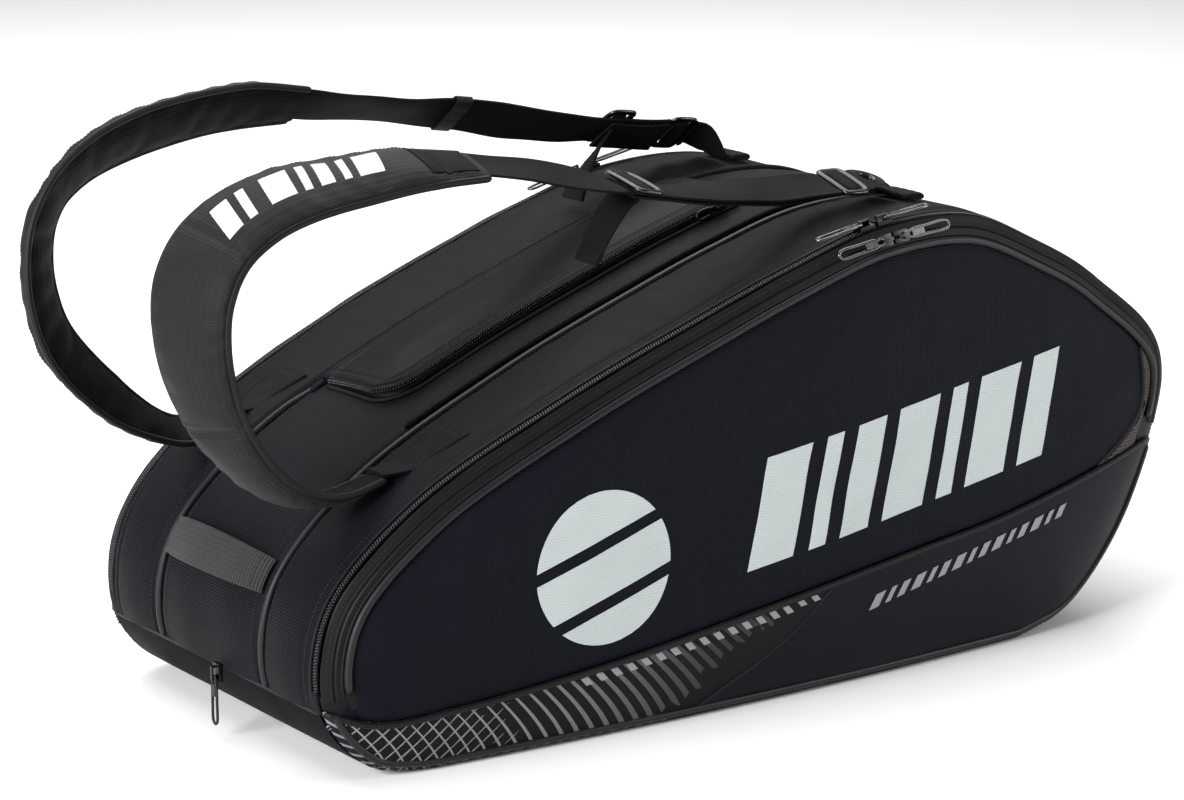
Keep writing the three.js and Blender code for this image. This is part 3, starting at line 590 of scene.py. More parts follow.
def mesh_cloth(name, base):
    """Open spacer mesh: rows of round holes over the ground beneath, painted far darker than the mesh as
    shade down in the holes.
    """
    look = Look(name, base, 0.7, specular=0.06, sheen=0.008)
    u, v = look.uv()
    a = look.wave(u, 0.0026)
    b = look.wave(v, 0.0026)
    dots = look.times(a, b)
    holes = look.step(dots, 0.30, 0.55)
    # painted shade in the holes: a fifth of the mesh colour
    hole_shade = (*[c * 0.2 for c in base], 1)
    look.plug(look.mix(holes, (*base, 1), hole_shade), "Base Color")
    look.bump(look.math("SUBTRACT", 1.0, holes), 0.0006)
    return look.mat


def belt_cloth(name, base, rough, rib=0.0019, cross=0.0, tick=0.0011, depth=0.00022, weave_shade_and_mottle=0.4, **more):
    """Woven webbing: ribs along its length, weft ticks across. cross > 0 makes it a cross-ribbed belt. Its
    colour follows the rib and tick height, which paints shade into the grooves and a highlight onto the
    ribs. A random mottle is mixed in.
    """
    look = Look(name, base, rough, **more)
    u, v = look.uv()
    ribs = look.wave(v, rib)
    ticks = look.wave(u, cross if cross else tick, 0.8)
    height = look.weigh(ribs, 0.25 if cross else 0.6, ticks, 0.9 if cross else 0.4)
    mottle = look.noise(45, 3.0)
    # colour from the rib height is painted shade and highlight; the mottle is random tone
    pattern = look.weigh(height, 0.6, mottle, 0.4)
    look.plug(look.shade(pattern, weave_shade_and_mottle), "Base Color")
    look.vary_rough(mottle, 0.08)
    look.bump(height, depth)
    return look.mat


def hard(name, base, rough, metal, wear=0.1, **more):
    """Cast metal or moulded plastic with fine grain and faint handling marks."""
    look = Look(name, base, rough, metal, **more)
    marks = look.noise(140, 5.0, 0.65)
    look.plug(look.shade(look.noise(50, 3.0), wear), "Base Color")
    look.vary_rough(marks, 0.08)
    look.bump(look.noise(1500, 2.0), 0.00004, 0.6)
    return look.mat


RIPSTOP = cloth("ripstop", (0.0036, 0.0042, 0.0076), 0.60, (0.0024, 0.0022), 0.00030, 0.5,
                (0.35, 0.65), specular=0.07, sheen=0.004)
PAD_CLOTH = cloth("pad_cloth", (0.0065, 0.0066, 0.0075), 0.62, (0.0022, 0.0022), 0.00022, 0.4,
                  specular=0.12, sheen=0.035)
GUSSET = cloth("gusset_cloth", (0.0046, 0.0048, 0.0062), 0.55, (0.0021, 0.0060), 0.00020, 0.4,
               (0.85, 0.15), specular=0.05, sheen=0.008)
COATED = coated_cloth("coated_cloth", (0.0044, 0.0050, 0.0062), 0.42, specular=0.05)
GLOSSY = coated_cloth("base_coated_cloth", (0.0026, 0.0036, 0.0064), 0.36, specular=0.09)
TRAY_CLOTH = coated_cloth("tray_cloth", (0.0024, 0.0026, 0.0034), 0.55, specular=0.02)
PRINT = printed_cloth("printed_cloth")
LINING = cloth("lining", (0.035, 0.040, 0.048), 0.75, (0.0016, 0.0016), 0.0001, 0.2, specular=0.2)
BOARD = hard("base_board", (0.02, 0.02, 0.024), 0.6, 0.0)
MESH = mesh_cloth("spacer_mesh", (0.0040, 0.0041, 0.0050))
INSERT = mesh_cloth("insert_mesh", (0.085, 0.072, 0.068))
BELT = belt_cloth("webbing", (0.0044, 0.0047, 0.0056), 0.58, specular=0.05, sheen=0.007)
BINDING = belt_cloth("binding_tape", (0.0034, 0.0034, 0.0040), 0.5, specular=0.2, sheen=0.01)
PIPING = cloth("piping_cloth", (0.0060, 0.0062, 0.0074), 0.42, (0.0016, 0.0016), 0.00012, 0.25,
               specular=0.28)
# the handle's deep ribs get strong painted shade in their grooves and painted highlights on their crests
HANDLE = belt_cloth("handle_webbing", (0.020, 0.0215, 0.0205), 0.6, rib=0.0032, cross=0.0023,
                    depth=0.0008, weave_shade_and_mottle=0.75, specular=0.15, sheen=0.03)
TAPE = belt_cloth("zip_tape", (0.0034, 0.0035, 0.0042), 0.55, rib=0.0016, tick=0.0012, depth=0.00012,
                  specular=0.16)
COIL = hard("zip_coil", (0.010, 0.010, 0.0115), 0.3, 0.0, specular=0.5)
THREAD = hard("thread", (0.009, 0.009, 0.011), 0.5, 0.0, specular=0.35)
METAL = hard("gunmetal", (0.055, 0.054, 0.051), 0.28, 1.0, 0.25)
SILVER = hard("dark_chrome", (0.11, 0.111, 0.11), 0.2, 1.0, 0.15)
BLACK_METAL = hard("black_metal", (0.035, 0.035, 0.037), 0.3, 1.0, 0.2)
PLASTIC = hard("moulded_plastic", (0.006, 0.006, 0.007), 0.2, 0.0, specular=0.5)
SILVER_INK = cloth("silver_print", (0.42, 0.46, 0.46), 0.40, (0.0024, 0.0022), 0.00020, 0.12,
                   (0.3, 0.7), specular=0.5)
GREY_INK = cloth("grey_print", (0.24, 0.24, 0.25), 0.5, (0.0024, 0.0022), 0.0001, 0.10, specular=0.3)

EDGE_PRINT = edge_print("edge_print")

# ---- gusset bands --------------------------------------------------------------------------------
SEAM_GAP = 0.0006
WELT_START_X = -262
HANDLE_EDGE = u_where(lambda x, z: z >= TRAY_HANDLE_Z, 0.01, 0.3)
HEAD_EDGE = u_where(lambda x, z: z <= TRAY_HEAD_Z, 0.8, 0.99)
LID_START = u_where(lambda x, z: z >= 60, 0.01, 0.3)
LID_END = u_where(lambda x, z: z <= 147, 0.75, 0.99)
INSERT_START = u_where(lambda x, z: z <= 232, 0.7, 0.99)
INSERT_HEAD = u_where(lambda x, z: z <= 172, 0.75, 0.99)
COATED_HEAD = u_where(lambda x, z: z <= 136, 0.8, 0.99)
arch = np.linspace(HANDLE_EDGE + SEAM_GAP, HEAD_EDGE - SEAM_GAP, 330)
WINDOW_X = (FLAP_X[0] + 12, FLAP_X[1] - 12)
WINDOW_Y = (FLAP_Y[0] + 9, FLAP_Y[1] - 8)
STITCH_PITCH, FINE_STITCH = 3.2, (2.2, 0.55, 0.5)
bag_stitches = []                 # runs of stitches on the bag, made into one mesh at the end


def band_uv(u, y):
    return stacked(u * outline.length, y)


def roll_off(y, low, high, width=3.6, depth=3.4):
    """Cloth turning down into a seam at both edges."""
    return -depth * (bump(y, low, width) + bump(y, high, width))


def cloth_waves(u, y, seed, low, high):
    """Broad sag of a band, and small puckers beside its seams."""
    s = u * outline.length
    middle = np.clip(4 * (y - low) * (high - y) / (high - low) ** 2, 0, 1)
    sag = 1.5 * ripple(s, y * 1.6, seed, 120) * middle
    near = np.exp(-np.minimum(y - low, high - y) / 7.0)
    pucker = 0.35 * np.sin(s / 4.3 + 1.5 * np.sin(s / 37)) * near * (1 - bump(near, 1, 0.2))
    return sag + pucker


def centre_surface(u, y):
    high = SEAM_Y - SEAM_ROOM
    low = -high
    return centre_crown(y) + roll_off(y, low, high) + cloth_waves(u, y, 5, low, high) * 0.8


def build_centre_band():
    edge = SEAM_Y - SEAM_ROOM
    y = np.concatenate([np.linspace(-edge, 10 - edge, 9), np.linspace(12 - edge, WINDOW_Y[0], 12),
                        np.linspace(-12, 50, 14), np.linspace(WINDOW_Y[1], edge - 6, 4),
                        np.linspace(edge - 4, edge, 3)])
    u, yy = arch[:, None], y[None, :]
    p = on_band(u, yy, centre_surface(u, yy))
    x, z = station(arch)[:2]
    inside_x = (x > WINDOW_X[0]) & (x < WINDOW_X[1]) & (z > 180)
    inside_y = (y >= WINDOW_Y[0] - 0.01) & (y <= WINDOW_Y[1] + 0.01)
    keep = ~((inside_x[:-1] & inside_x[1:])[:, None] & (inside_y[:-1] & inside_y[1:])[None, :])
    sheet("centre_band", p, band_uv(u, yy), GUSSET, "bag", WALL, keep=keep, replaces=["centre_gusset"],
          back=LINING)


def zip_edge(x):
    """Width position of the side band's edge beside the zip."""
    return half_width(x) - ZIP_WIDTH - ZIP_ROOM


def side_band_surface(u, y):
    x = station(u)[0]
    low, high = SEAM_Y + SEAM_ROOM, zip_edge(x)
    fold_line = -0.9 * bump(y, high - 11, 1.4)
    waves = cloth_waves(u, y, 11, low, high)
    return crown(y, low, high) + roll_off(y, low, low - 60) + fold_line + waves


def build_side_band(name, sign):
    x = station(arch)[0]
    share = np.concatenate([np.linspace(0, 0.10, 8), np.linspace(0.13, 0.84, 18), np.linspace(0.86, 1, 12)])
    low, high = SEAM_Y + SEAM_ROOM, zip_edge(x)
    y = low + (high - low)[:, None] * share[None, :]
    u = np.broadcast_to(arch[:, None], y.shape)
    p = on_band(u, sign * y, side_band_surface(u, y))
    sheet(f"{name}_band", p, band_uv(u, y), GUSSET, "bag", WALL, replaces=[f"{name}_gusset"], side=sign,
          back=LINING)


def band_up(us):
    nx, nz = station(us)[2:]
    return np.stack([nx, np.zeros_like(nx), nz], -1)


def build_seams(name, sign):
    """Bound seam between the centre and side bands, with a padded welt and a stitch line beside it."""
    us = np.linspace(arch[0], arch[-1], 300)
    x = station(us)[0]
    beside_flap = smooth(x, FLAP_X[0] - 30, FLAP_X[0] - 5) * (1 - smooth(x, FLAP_X[1] + 5, FLAP_X[1] + 30))
    sunk = 2.0 * beside_flap if sign > 0 else 0.0
    tube(f"{name}_seam_cord", on_band(us, sign * SEAM_Y, -1.3 - sunk), band_up(us), 2.9, PIPING, "bag")
    welt_us = np.linspace(top_u(WELT_START_X), HEAD_EDGE - 0.002, 220)
    tube(f"{name}_welt", on_band(welt_us, sign * 65.5, centre_crown(np.array(65.5)) + 1.1), band_up(welt_us),
         3.3, GUSSET, "bag", flat=0.72, taper=4)
    y = SEAM_Y + 8.5
    stitch_us = np.linspace(arch[0] + 0.004, arch[-1] - 0.004, 300)
    n = side_band_surface(stitch_us, np.full_like(stitch_us, y))
    bag_stitches.append(run_of(on_band(stitch_us, sign * y, n + 0.12), band_up(stitch_us), 3.6))


def band_stitches(sign):
    us = np.linspace(arch[0] + 0.003, arch[-1] - 0.003, 400)
    x = station(us)[0]
    y = zip_edge(x) - 8.2
    n = side_band_surface(us, y)
    bag_stitches.append(run_of(on_band(us, sign * y, n + 0.15), band_up(us), 3.4))
    us = np.linspace(arch[0] + 0.003, top_u(WELT_START_X), 120)
    y = SEAM_Y - 12.0
    n = centre_surface(us, np.full_like(us, y))
    bag_stitches.append(run_of(on_band(us, sign * y, n + 0.15), band_up(us), 3.4))


COIL_PITCH = 2.2


def teeth_row(path, up, shift):
    """Coil teeth lying across a zip's line, as a run of beads."""
    places, t, across, out = run_of(path, up, COIL_PITCH)
    return places + t * shift, across, t, out


def build_zip(name, sign):
    """Coil zip round the arch: two tapes, two rows of teeth and a thin guide on the bag's side."""
    us = np.linspace(LID_START, LID_END, 420)
    x = station(us)[0]
    centre = half_width(x) - ZIP_WIDTH / 2
    share = np.array([-2.7, -1.6, -0.4, 0.4, 1.6, 2.7])
    y = sign * (centre[:, None] + share[None, :])
    lift = -0.9 + 0.35 * (np.abs(share) > 1) * np.ones_like(y)
    p = on_band(us[:, None], y, lift)
    sheet(f"{name}_zip_tape", p, band_uv(us[:, None], y), TAPE, "bag", 0.9, replaces=[f"{name}_zip_chain"],
          side=sign, slot="zip_coil")
    runs = []
    for row, shift in ((-1.15, 0.0), (1.15, COIL_PITCH / 2)):
        path = on_band(us, sign * (centre + row), np.full_like(us, -0.15))
        runs.append(teeth_row(path, band_up(us), shift))
    bead_object(f"{name}_zip_teeth", runs, (2.5, 1.5, 1.5), COIL, "bag")
    cord = on_band(us, sign * (centre - 4.6), np.full_like(us, 0.35))
    tube(f"{name}_zip_guard", cord, band_up(us), 1.15, BINDING, "bag", sides=8, taper=2)


# ---- the two sides -------------------------------------------------------------------------------
def patch(bottom, top, left, right, columns, rows):
    """Coons patch between four (x, z) curves given as functions of 0..1."""
    s = np.linspace(0, 1, columns)[:, None]
    t = np.linspace(0, 1, rows)[None, :]
    curve = lambda fn, k, v: fn(v.ravel())[:, k].reshape(v.shape)
    parts = []
    for k in (0, 1):
        b0, b1 = bottom(np.array([0.0]))[0, k], bottom(np.array([1.0]))[0, k]
        t0, t1 = top(np.array([0.0]))[0, k], top(np.array([1.0]))[0, k]
        ruled = curve(bottom, k, s) * (1 - t) + curve(top, k, s) * t
        across = curve(left, k, t) * (1 - s) + curve(right, k, t) * s
        corners = (b0 * (1 - s) + b1 * s) * (1 - t) + (t0 * (1 - s) + t1 * s) * t
        parts.append(ruled + across - corners)
    return parts[0], parts[1]


def fold_part(x0, x1, rise=0.0):
    u0, u1 = fold.u_at_x(x0), fold.u_at_x(x1)
    return lambda t: fold.at(u0 + (u1 - u0) * t) + np.array([0, rise])


def between(a, b):
    return lambda t: np.asarray(a)[None] * (1 - t[:, None]) + np.asarray(b)[None] * t[:, None]


def end(fn, t):
    return fn(np.array([float(t)]))[0]


def in_turn(first, second, turn):
    """Two curves of 0..1 one after the other; the second starts at turn."""
    def curve(t):
        early, late = first(np.clip(t / turn, 0, 1)), second(np.clip((t - turn) / (1 - turn), 0, 1))
        return np.where((t < turn)[:, None], early, late)
    return curve


def side_waves(x, z, seed, amount=1.6):
    return amount * ripple(x, z * 1.2, seed, 150) + 0.4 * ripple(x, z, seed + 1, 45)


def above_fold(x, z):
    line = fold.at(np.linspace(0, 1, 400))
    return z - np.interp(x, line[:, 0], line[:, 1])


def panel_off(x, z):
    """How far the side panel swells away from the plain side."""
    return side_waves(x, z, 21) * smooth(above_fold(x, z), 0, 40)


PANEL_EDGE = 20.6                 # the panel tucks under the piping
panel_top = lambda t: stacked(*inset(LID_START + 0.006 + (INSERT_START - LID_START - 0.006) * t, PANEL_EDGE))
insert_track = Track(INSERT_EDGE + [tuple(end(panel_top, 1))])
panel_bottom = fold_part(-373.5, 304, 1.0)
whole_bottom = fold_part(-373.5, 352, 1.0)


def head_edge(reach):
    """Edge of the panel or insert up the head end, under the piping."""
    return lambda t: stacked(*inset(INSERT_HEAD + (reach - INSERT_HEAD) * t, PANEL_EDGE))


# The back panel has no insert: its right edge goes up from the fold and on under the piping.
corner_foot = between(end(whole_bottom, 1), end(head_edge(INSERT_START), 0))
head_corner = in_turn(corner_foot, head_edge(INSERT_START), 0.2)


def panel_depth(x, z):
    """Cloth turning in under the piping and down at the fold."""
    edge = np.linalg.norm(np.stack([x, z], -1)[..., None, :] - EDGE_SAMPLES[None, None], axis=-1).min(-1)
    return -2.4 * bump(edge, PANEL_EDGE - 1, 3.2)


def build_panel(name, sign):
    body = f"{name}_lid"
    bottom, right = (panel_bottom, insert_track.at) if sign < 0 else (whole_bottom, head_corner)
    x, z = patch(bottom, panel_top, between(end(bottom, 0), end(panel_top, 0)), right, 230, 76)
    above = above_fold(x, z)
    off = panel_off(x, z) + panel_depth(x, z) - 1.8 * bump(above, 0, 3.5)
    off += 0.35 * np.sin(x / 4.7 + np.sin(x / 31)) * np.exp(-above / 9) * smooth(above, 1, 5)
    p = on_side(x, z, sign, off)
    sheet(f"{name}_side_panel", p, stacked(x, z), RIPSTOP, body, 2.6, side=-sign,
          replaces=[f"{name}_panel"], back=LINING)


def build_edge_strip(name, sign):
    """Strip between the zip and the thick piping, grooved and stitched where the second zip runs."""
    body = f"{name}_lid"
    us = np.linspace(LID_START, LID_END, 330)
    depth = np.concatenate([[0.9, 1.4, 2.4], np.linspace(3.6, 15.2, 16), [16.4]])
    x, z = inset(us[:, None], depth[None, :])
    groove = -0.9 * bump(depth, 9.0, 0.8)[None] + 0.5 * bump(depth, 7.4, 0.9)[None] \
        + 0.5 * bump(depth, 10.6, 0.9)[None] - 1.8 * bump(depth, 16.6, 1.6)[None]
    sag = 0.35 * ripple(us[:, None] * outline.length, depth[None] * 4, 31, 60)
    p = on_side(x, z, sign, groove + sag + 0.1)
    replaced = [f"{name}_lid_rim"]
    if name == "front":
        replaced.append("side_pocket_zip_chain")
    sheet(f"{name}_edge_strip", p, band_uv(us[:, None], depth[None]), TAPE, body, 2.0, side=sign,
          replaces=replaced)
    runs = []
    for d in (4.2, 13.4):
        xs, zs = inset(us, d)
        path = on_side(xs, zs, sign, 0.28)
        runs.append(run_of(path, (0, sign, 0), STITCH_PITCH))
    bead_object(f"{name}_edge_stitching", runs, FINE_STITCH, THREAD, body)


def build_piping(name, sign):
    body = f"{name}_lid"
    us = np.linspace(LID_START + 0.003, LID_END - 0.003, 420)
    x, z = inset(us, PIPING_DEPTH)
    wobble = 0.12 * ripple(us * outline.length, us * 0, 41, 30)
    path = on_side(x, z, sign, -0.4 + wobble)
    up = (0, sign, 0)
    radius = PIPING_RADIUS * (1 + 0.03 * ripple(us * outline.length, us * 0, 42, 16))
    tube(f"{name}_piping", path, up, radius, PIPING, body, sides=16, taper=5,
         replaces=[f"{name}_panel_piping"], slot="ripstop")
    xs, zs = inset(us, PIPING_DEPTH - 4.2)
    tube(f"{name}_piping_flange", on_side(xs, zs, sign, 0.2), up, 0.9, BINDING, body, sides=8,
         taper=2)


def foot(u):
    x, z = inset(u, 1)
    return stacked(x, np.maximum(z, 1))


def base_line(x0, x1):
    return lambda t: stacked(x0 + (x1 - x0) * t, 1.0)


def print_band_grid():
    rounded = lambda t: foot((HANDLE_EDGE - 0.008) * (1 - t))
    bottom = in_turn(rounded, base_line(OUTLINE[0][0], SLANT[-1][0]), 0.3)
    top = fold_part(-386, SLANT[0][0])
    right = lambda t: slant.at(1 - t)
    return patch(bottom, top, between(end(bottom, 0), end(top, 0)), right, 170, 40)


def coated_grid():
    rising = lambda t: foot(1 + (COATED_HEAD - 1) * t)
    bottom = in_turn(base_line(SLANT[-1][0], OUTLINE[-1][0]), rising, 0.55)
    top = fold_part(SLANT[0][0], 367)
    left = lambda t: slant.at(1 - t)
    return patch(bottom, top, left, between(end(bottom, 1), end(top, 1)), 170, 44)


def build_lower_side(name, sign):
    x, z = print_band_grid()
    p = on_side(x, z, sign, 0.3 * side_waves(x, z, 51))
    sheet(f"{name}_printed_band", p, stacked(x, z), PRINT, "bag", WALL, side=-sign,
          replaces=[f"{name}_print_band"], back=LINING)
    x, z = coated_grid()
    t = np.linspace(0, 1, x.shape[1])[None]
    puff = 1.2 * np.sin(math.pi * np.clip(t, 0, 1)) ** 0.7
    p = on_side(x, z, sign, 0.4 * side_waves(x, z, 53) + puff)
    sheet(f"{name}_smooth_panel", p, stacked(x, z), GLOSSY, "bag", WALL, side=-sign,
          replaces=[f"{name}_coated_panel"], back=LINING)
    up = (0, sign, 0)
    us = np.linspace(fold.u_at_x(-385), fold.u_at_x(367), 300)
    line = fold.at(us)
    tube(f"{name}_fold_welt", on_side(line[:, 0], line[:, 1] - 1.6, sign, 0.0), up, 2.3, BINDING, "bag",
         sides=10, taper=4)
    bag_stitches.append(run_of(on_side(line[:, 0], line[:, 1] - 4.0, sign, 0.2), up, STITCH_PITCH))
    us = np.linspace(0.02, 0.98, 120)
    line = slant.at(us)
    tube(f"{name}_slant_seam", on_side(line[:, 0], line[:, 1], sign, -0.2), up, 1.2, BINDING, "bag",
         sides=8, taper=3)
    base_piping(name, sign)


def base_loop(count):
    """(x, z) of the bag's lower edge: round the handle end, along the base and up the head end."""
    a = station(np.linspace(HANDLE_EDGE - 0.001, 0, 60))
    b = np.stack([np.linspace(OUTLINE[0][0], OUTLINE[-1][0], 90)[1:-1], np.zeros(88)])
    c = station(np.linspace(1, COATED_HEAD, 80))
    line = np.concatenate([np.stack(a[:2], -1), b.T, np.stack(c[:2], -1)])
    track = Track(line[::3])
    return track.at(np.linspace(0, 1, count))


def base_piping(name, sign):
    line = base_loop(420)
    inward = unit(np.gradient(line, axis=0)) @ np.array([[0, 1], [-1, 0]])
    centre = line + inward * 6.2
    centre[:, 1] = np.maximum(centre[:, 1], 6.2)
    path = on_side(centre[:, 0], centre[:, 1], sign, -0.2)
    tube(f"{name}_base_piping", path, (0, sign, 0), 2.7, PIPING, "bag", sides=12, taper=4,
         slot="coated_cloth")
    steps = np.linspace(0, 1, 7)
    edge = line[:, None] + inward[:, None] * (4.4 * steps[None, :, None])
    p = on_side(edge[..., 0], np.maximum(edge[..., 1], 0.2), sign, 0.5 - 1.2 * (1 - steps[None]) ** 3)
    s = arc_lengths(line)
    uv = stacked(s[:, None], steps[None] * 6)
    sheet(f"{name}_base_edge", p, uv, EDGE_PRINT, "bag", 0.8, side=-sign)


def build_insert():
    """Mesh insert at the head end of the front panel."""
    top = lambda t: insert_track.at(0.04 + 0.94 * t) + np.array([1.4, -1.0])
    bottom = fold_part(308, 352, 1.0)
    turn, close_from = 0.25, 0.8
    edge = head_edge(INSERT_START + 0.003)

    def closing(t):
        share = np.clip((turn + (1 - turn) * t - close_from) / (1 - close_from), 0, 1)[:, None]
        return edge(t) * (1 - share) + end(top, 1)[None] * share

    right = in_turn(between(end(bottom, 1), end(edge, 0)), closing, turn)
    x, z = patch(bottom, top, between(end(bottom, 0), end(top, 0)), right, 40, 40)
    p = on_side(x, z, -1, -0.8 + 0.3 * ripple(x, z, 61, 60))
    sheet("front_mesh_panel", p, stacked(x, z), INSERT, "front_lid", 2.4, side=1,
          replaces=["front_mesh_insert"], back=LINING)
    us = np.linspace(0.01, 0.99, 90)
    line = insert_track.at(us)
    tube("mesh_panel_welt", on_side(line[:, 0], line[:, 1], -1, 0.0), (0, -1, 0), 1.5,
         BINDING, "front_lid", sides=8, taper=3)


def build_inside():
    """Divider walls and the front panel's lining, as soft plain cloth."""
    u = np.linspace(0.02, 0.98, 120)
    x, z = inset(u, 8)
    x, z = x[2:-2], np.maximum(z[2:-2], 10.5)
    foot_x = np.clip(x, -318, 236)
    t = np.linspace(0, 1, 30)[None]
    gx = foot_x[:, None] * (1 - t) + x[:, None] * t
    gz = 10.0 * (1 - t) + z[:, None] * t
    for name, sign in (("front", -1), ("back", 1)):
        y = sign * (SEAM_Y + 1) + 0.8 * ripple(gx, gz, 71 + sign, 110)
        p = np.stack([gx, y, gz], -1)
        sheet(f"{name}_divider_wall", p, stacked(gx, gz), LINING, "bag", 1.6,
              replaces=[f"{name}_divider"], side=-sign)
    top = lambda v: stacked(*inset(LID_START + 0.01 + (INSERT_START - LID_START - 0.01) * v, 32))
    x, z = patch(panel_bottom, top, between(end(panel_bottom, 0), end(top, 0)),
                 between(end(panel_bottom, 1), end(top, 1)), 90, 30)
    p = on_side(x, z, -1, -6.0 + 0.5 * ripple(x, z, 73, 90))
    sheet("front_lining_cloth", p, stacked(x, z), LINING, "front_lid", 1.2, side=1,
          replaces=["front_lining"])


def build_tray():
    """Smooth tray under the bag, turned up at both ends, with a seam at each end."""
    a = np.stack(station(np.linspace(HANDLE_EDGE - SEAM_GAP, 0, 40)))
    flat = np.linspace(OUTLINE[0][0], OUTLINE[-1][0], 40)[1:-1]
    b = np.stack([flat, np.zeros(38), np.zeros(38), -np.ones(38)])
    c = np.stack(station(np.linspace(1, HEAD_EDGE + SEAM_GAP, 50)))
    x, z, nx, nz = np.concatenate([a, b, c], axis=1)
    half = half_width(x) - 3.2
    y = half[:, None] * np.linspace(-1, 1, 31)[None]
    puff = 1.1 * (1 - np.abs(np.linspace(-1, 1, 31)) ** 8)[None] * smooth(z, 4, 30)[:, None]
    puff = puff + 0.7 * ripple(x[:, None], y, 81, 80) * smooth(z, 6, 30)[:, None]
    p = stacked(x[:, None] + nx[:, None] * puff, y,
                                     np.maximum(z[:, None] + nz[:, None] * puff, 0.05))
    s = arc_lengths(stacked(x, z))
    uv = stacked(s[:, None], y)
    sheet("base_tray_cloth", p, uv, TRAY_CLOTH, "bag", 3.2, replaces=["base_tray"], side=-1,
          back=LINING)
    for label, u in (("handle", HANDLE_EDGE), ("head", HEAD_EDGE)):
        sx, sz, ux, uz = (float(v) for v in station(u))
        y = np.linspace(-half_width(sx) + 4, half_width(sx) - 4, 120)
        path = np.stack([np.full(120, sx), y, np.full(120, sz)], -1)
        tube(f"{label}_cross_seam", path + np.array([ux, 0, uz]) * 0.2, (ux, 0, uz), 1.7,
             BINDING, "bag", sides=8, taper=3)


# ---- top flap ------------------------------------------------------------------------------------
def flap_lift(y):
    t = (y - FLAP_Y[0]) / (FLAP_Y[1] - FLAP_Y[0])
    return centre_crown(y) + FLAP_RISE + (HINGE_RISE - FLAP_RISE) * t * t


def flap_front(x):
    into = np.clip((x - FLAP_X[0]) / FLAP_CORNER, 0, 1)
    return FLAP_Y[0] + FLAP_CORNER * (1 - np.sqrt(1 - (1 - into) ** 2))


def on_top(x, y, n):
    return on_band(top_u(x), y, n)


def flap_edge(near):
    """Drop of the flap's cloth at its bound edge, and the groove of the stitching beside it."""
    return -2.2 * np.exp(-near / 2.2) - bump(near, 7.5, 1.3)


def build_flap():
    grow = np.concatenate([np.linspace(0, 1, 26) ** 2 * 40, np.linspace(42, FLAP_X[1] - FLAP_X[0], 150)])
    xs = FLAP_X[0] + grow
    share = np.concatenate([np.linspace(0, 0.12, 14), np.linspace(0.14, 0.9, 34), np.linspace(0.92, 1, 8)])
    front = flap_front(xs)
    y = front[:, None] + (FLAP_Y[1] - front)[:, None] * share[None]
    x = np.broadcast_to(xs[:, None], y.shape)
    from_front = y - front[:, None]
    from_end = x - FLAP_X[0]
    to_head = FLAP_X[1] - x
    near = np.minimum(from_front, from_end)
    n = flap_lift(y)
    n = n + flap_edge(near) - 2.0 * np.exp(-to_head / 3)
    n = n + 1.3 * smooth(near, 10, 34) * smooth(FLAP_Y[1] - y, 0, 20)
    n = n + 0.9 * ripple(x, y * 1.5, 91, 110) * smooth(near, 8, 40)
    n = n - 1.2 * bump(y, 50 - 0.02 * (x - FLAP_X[0]), 1.6)
    p = on_top(x, y, n)
    sheet("top_flap_cloth", p, stacked(x, y), COATED, "pocket_flap", 2.6, replaces=["top_flap"], back=LINING)
    runs = [run_of(*flap_line(gap), STITCH_PITCH) for gap in (5.0, 10.0)]
    bead_object("flap_stitching", runs, FINE_STITCH, THREAD, "pocket_flap")
    tube("flap_edge_cord", *flap_line(0.9, -1.6), 1.5, BINDING, "pocket_flap", sides=10, taper=3)


def flap_outline(inward):
    r = FLAP_CORNER - inward
    cx, cy = FLAP_X[0] + FLAP_CORNER, FLAP_Y[0] + FLAP_CORNER
    a = np.linspace(0, math.pi / 2, 30)[1:-1]
    left = stacked(FLAP_X[0] + inward, np.linspace(56, cy + 2, 20))
    arc = stacked(cx - r * np.cos(a), cy - r * np.sin(a))
    front = stacked(np.linspace(cx + 2, FLAP_X[1] - 6, 160), FLAP_Y[0] + inward)
    return np.concatenate([left, arc, front])


def flap_line(inward, lift=0.15):
    """Line on the flap at that distance from its free edge."""
    line = flap_outline(inward)
    x, y = line[:, 0], line[:, 1]
    n = flap_lift(y) + flap_edge(inward) + lift
    return on_top(x, y, n), band_up(top_u(x))


def build_flap_zip():
    """Zip under the flap's free edge: a wall of tape, then the coil standing just proud of it."""
    line = flap_outline(1.6)
    x, y = line[:, 0], line[:, 1]
    low, high = centre_crown(y) + 0.3, flap_lift(y) - 6.0
    share = np.linspace(0, 1, 8)
    n = low[:, None] + (high - low)[:, None] * share[None]
    belly = -0.8 * np.sin(math.pi * share)[None]
    away = flap_outline(-0.4) - line
    px = x[:, None] + away[:, :1] * belly
    py = y[:, None] + away[:, 1:] * belly
    p = on_band(top_u(px), py, n)
    s = arc_lengths(line)
    uv = stacked(s[:, None], n)
    sheet("flap_wall", p, uv, TAPE, "bag", 1.2, side=1, replaces=["flap_coaming"])
    coil = flap_outline(-0.8)
    path = on_top(coil[:, 0], coil[:, 1], flap_lift(coil[:, 1]) - 4.6)
    out = on_top(*flap_outline(-2).T, flap_lift(coil[:, 1]) - 4.6) - path
    runs = []
    for rise, shift in ((-1.0, 0.0), (1.0, COIL_PITCH / 2)):
        runs.append(teeth_row(path + band_up(top_u(coil[:, 0])) * rise, out, shift))
    bead_object("flap_zip_teeth", runs, (2.3, 1.5, 1.5), COIL, "bag", replaces=["flap_zip_chain"])
    ledge = flap_outline(-3.2)
    tube("flap_zip_flange", on_top(ledge[:, 0], ledge[:, 1], centre_crown(ledge[:, 1]) + 1.0),
         band_up(top_u(ledge[:, 0])), 1.6, TAPE, "bag", sides=8, taper=3)


